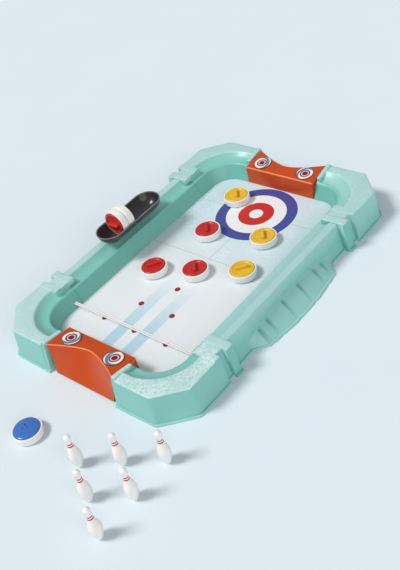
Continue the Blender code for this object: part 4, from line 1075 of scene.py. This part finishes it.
def tray_surface():
    """The tray as level rings: at each angle below the rim, a stadium of the cosine's half width.

    The outside runs from the keel up to the rim, and the inside from the rim back down. It returns
    the points and marks the rim's two rings among them for a painted highlight.
    """
    angles = (np.linspace(math.pi / 2, math.asin(RACK_RIM / RACK_OUTER), RACK_RINGS),
              np.linspace(math.asin(RACK_RIM / RACK_INNER), math.pi / 2, RACK_RINGS))
    radius = np.repeat([RACK_OUTER, RACK_INNER], RACK_RINGS)
    width, fall = radius * np.cos(angles).ravel(), radius * np.sin(angles).ravel()
    width[RACK_RINGS - 1] -= RACK_RIM_EASE[0]
    width[RACK_RINGS] += RACK_RIM_EASE[0]
    fall[[RACK_RINGS - 2, RACK_RINGS + 1]] += RACK_RIM_EASE[1]
    around = full_turn(RACK_SEGMENTS)
    x = width[:, None] * np.cos(around)
    y = width[:, None] * np.sin(around) + RACK_STRAIGHT * np.sign(np.sin(around) + 1e-9)
    z = -fall[:, None] + 0 * around
    # The rim's two rings take a painted highlight.
    rim = 0 * z
    rim[RACK_RINGS - 1:RACK_RINGS + 1] = 1
    return np.stack([x, y, z], -1) + RACK_AXIS, rim


def saddle_surface():
    """The saddle's section, rounded at its corners, carried along the rack to follow the tray."""
    x, z = np.moveaxis(softened(SADDLE[None], SADDLE_CUTS, steps=4), -1, 0)
    x = x + SADDLE_DRAWN * (x < SADDLE_OUT)
    return np.stack([x, (RACK_AXIS[1] + SADDLE_PATH)[:, None] + 0 * x, z + 0 * x], -1)


# A painted highlight lines the tray's thin rim in grey.
BLACK = plastic("black_plastic", (0.026, 0.023, 0.028), (0.038, 0.034, 0.040),
                roughness=0.28, coat=0.25, rim=(0.24, 0.22, 0.25), share=0.8)
tray, rim = tray_surface()
saddle = saddle_surface()
parts = [surface(tray, RACK_SHARP, caps=False, rim=rim),
         surface(saddle, RACK_SHARP, rim=0 * saddle[..., 0])]
piece("rack_tray", joined(parts, RACK_SHARP), BLACK, "rack", "black_plastic", "puck_rack")

# Bowling pins: white moulded pins with two red rings round the neck. They stand free on flat
# feet, in the triangle of the bed's dots, on the table before the launch end.
PIN_HEIGHT = 42 * MM
PIN_FOOT = 3.5 * MM
PIN_OUTLINE = np.array([
    (0, 0.86), (0.012, 0.95), (0.03, 1), (0.09, 1.27), (0.15, 1.52), (0.23, 1.72), (0.3, 1.8),
    (0.36, 1.79), (0.42, 1.7), (0.49, 1.49), (0.55, 1.24), (0.61, 1), (0.66, 0.84), (0.7, 0.77),
    (0.74, 0.755), (0.785, 0.8), (0.83, 0.885), (0.87, 0.965), (0.91, 0.985), (0.945, 0.9),
    (0.97, 0.74), (0.988, 0.5), (0.997, 0.25), (1, 0)])
PIN_LEVELS = np.concatenate([np.linspace(0, 0.94, 60), 1 - 0.06 * np.linspace(1, 0, 16)[1:] ** 2])
PIN_SEGMENTS = 48
PIN_AT, PIN_ROW_STEP, PIN_STEP = (66.0, -262.0), 35.3, 44.6
PIN_WHITES = ((0.80, 0.79, 0.76), (0.86, 0.85, 0.83))
NECK_RINGS, NECK_HALF, NECK_SOFT = (28.6 * MM, 31.4 * MM), 0.75 * MM, 0.2 * MM
NECK_RED = (0.55, 0.02, 0.018)


def pin_surface():
    """The pin's outline, eased between its measured radii, turned about its own axis."""
    smooth = np.interp(PIN_LEVELS, *PIN_OUTLINE.T)
    smooth[2:-3] = (smooth[1:-4] + 2 * smooth[2:-3] + smooth[3:-2]) / 4
    profile = np.stack([smooth * PIN_FOOT, PIN_LEVELS * PIN_HEIGHT], -1)[::-1]
    return turned(np.concatenate([profile, [[0, 0]]]), PIN_SEGMENTS)


pin_finish, tree, shader = finish_material("pin_plastic", roughness=0.24, coat=0.3)
z = object_place(tree)[3]
pin_tone = mixed(grain(shader, strength=0.04, size=1500.0), *PIN_WHITES)
for ring_z in NECK_RINGS:
    pin_tone = mixed(strip(z, ring_z, NECK_HALF, NECK_SOFT), pin_tone, NECK_RED)
put(shader.inputs["Base Color"], pin_tone)
pin_grid = pin_surface()
stands = [(PIN_AT[0] + row * PIN_ROW_STEP, PIN_AT[1] + (i - row / 2) * PIN_STEP, 0)
          for row in range(3) for i in range(row + 1)]
for number, stand in enumerate(stands, 1):
    pin = set_down(pin_grid, np.array(stand) * MM, sharp=60)
    body = f"bowling_pin_{number}"
    piece(f"pin_{number}", pin, pin_finish, body, "pin_plastic", body)
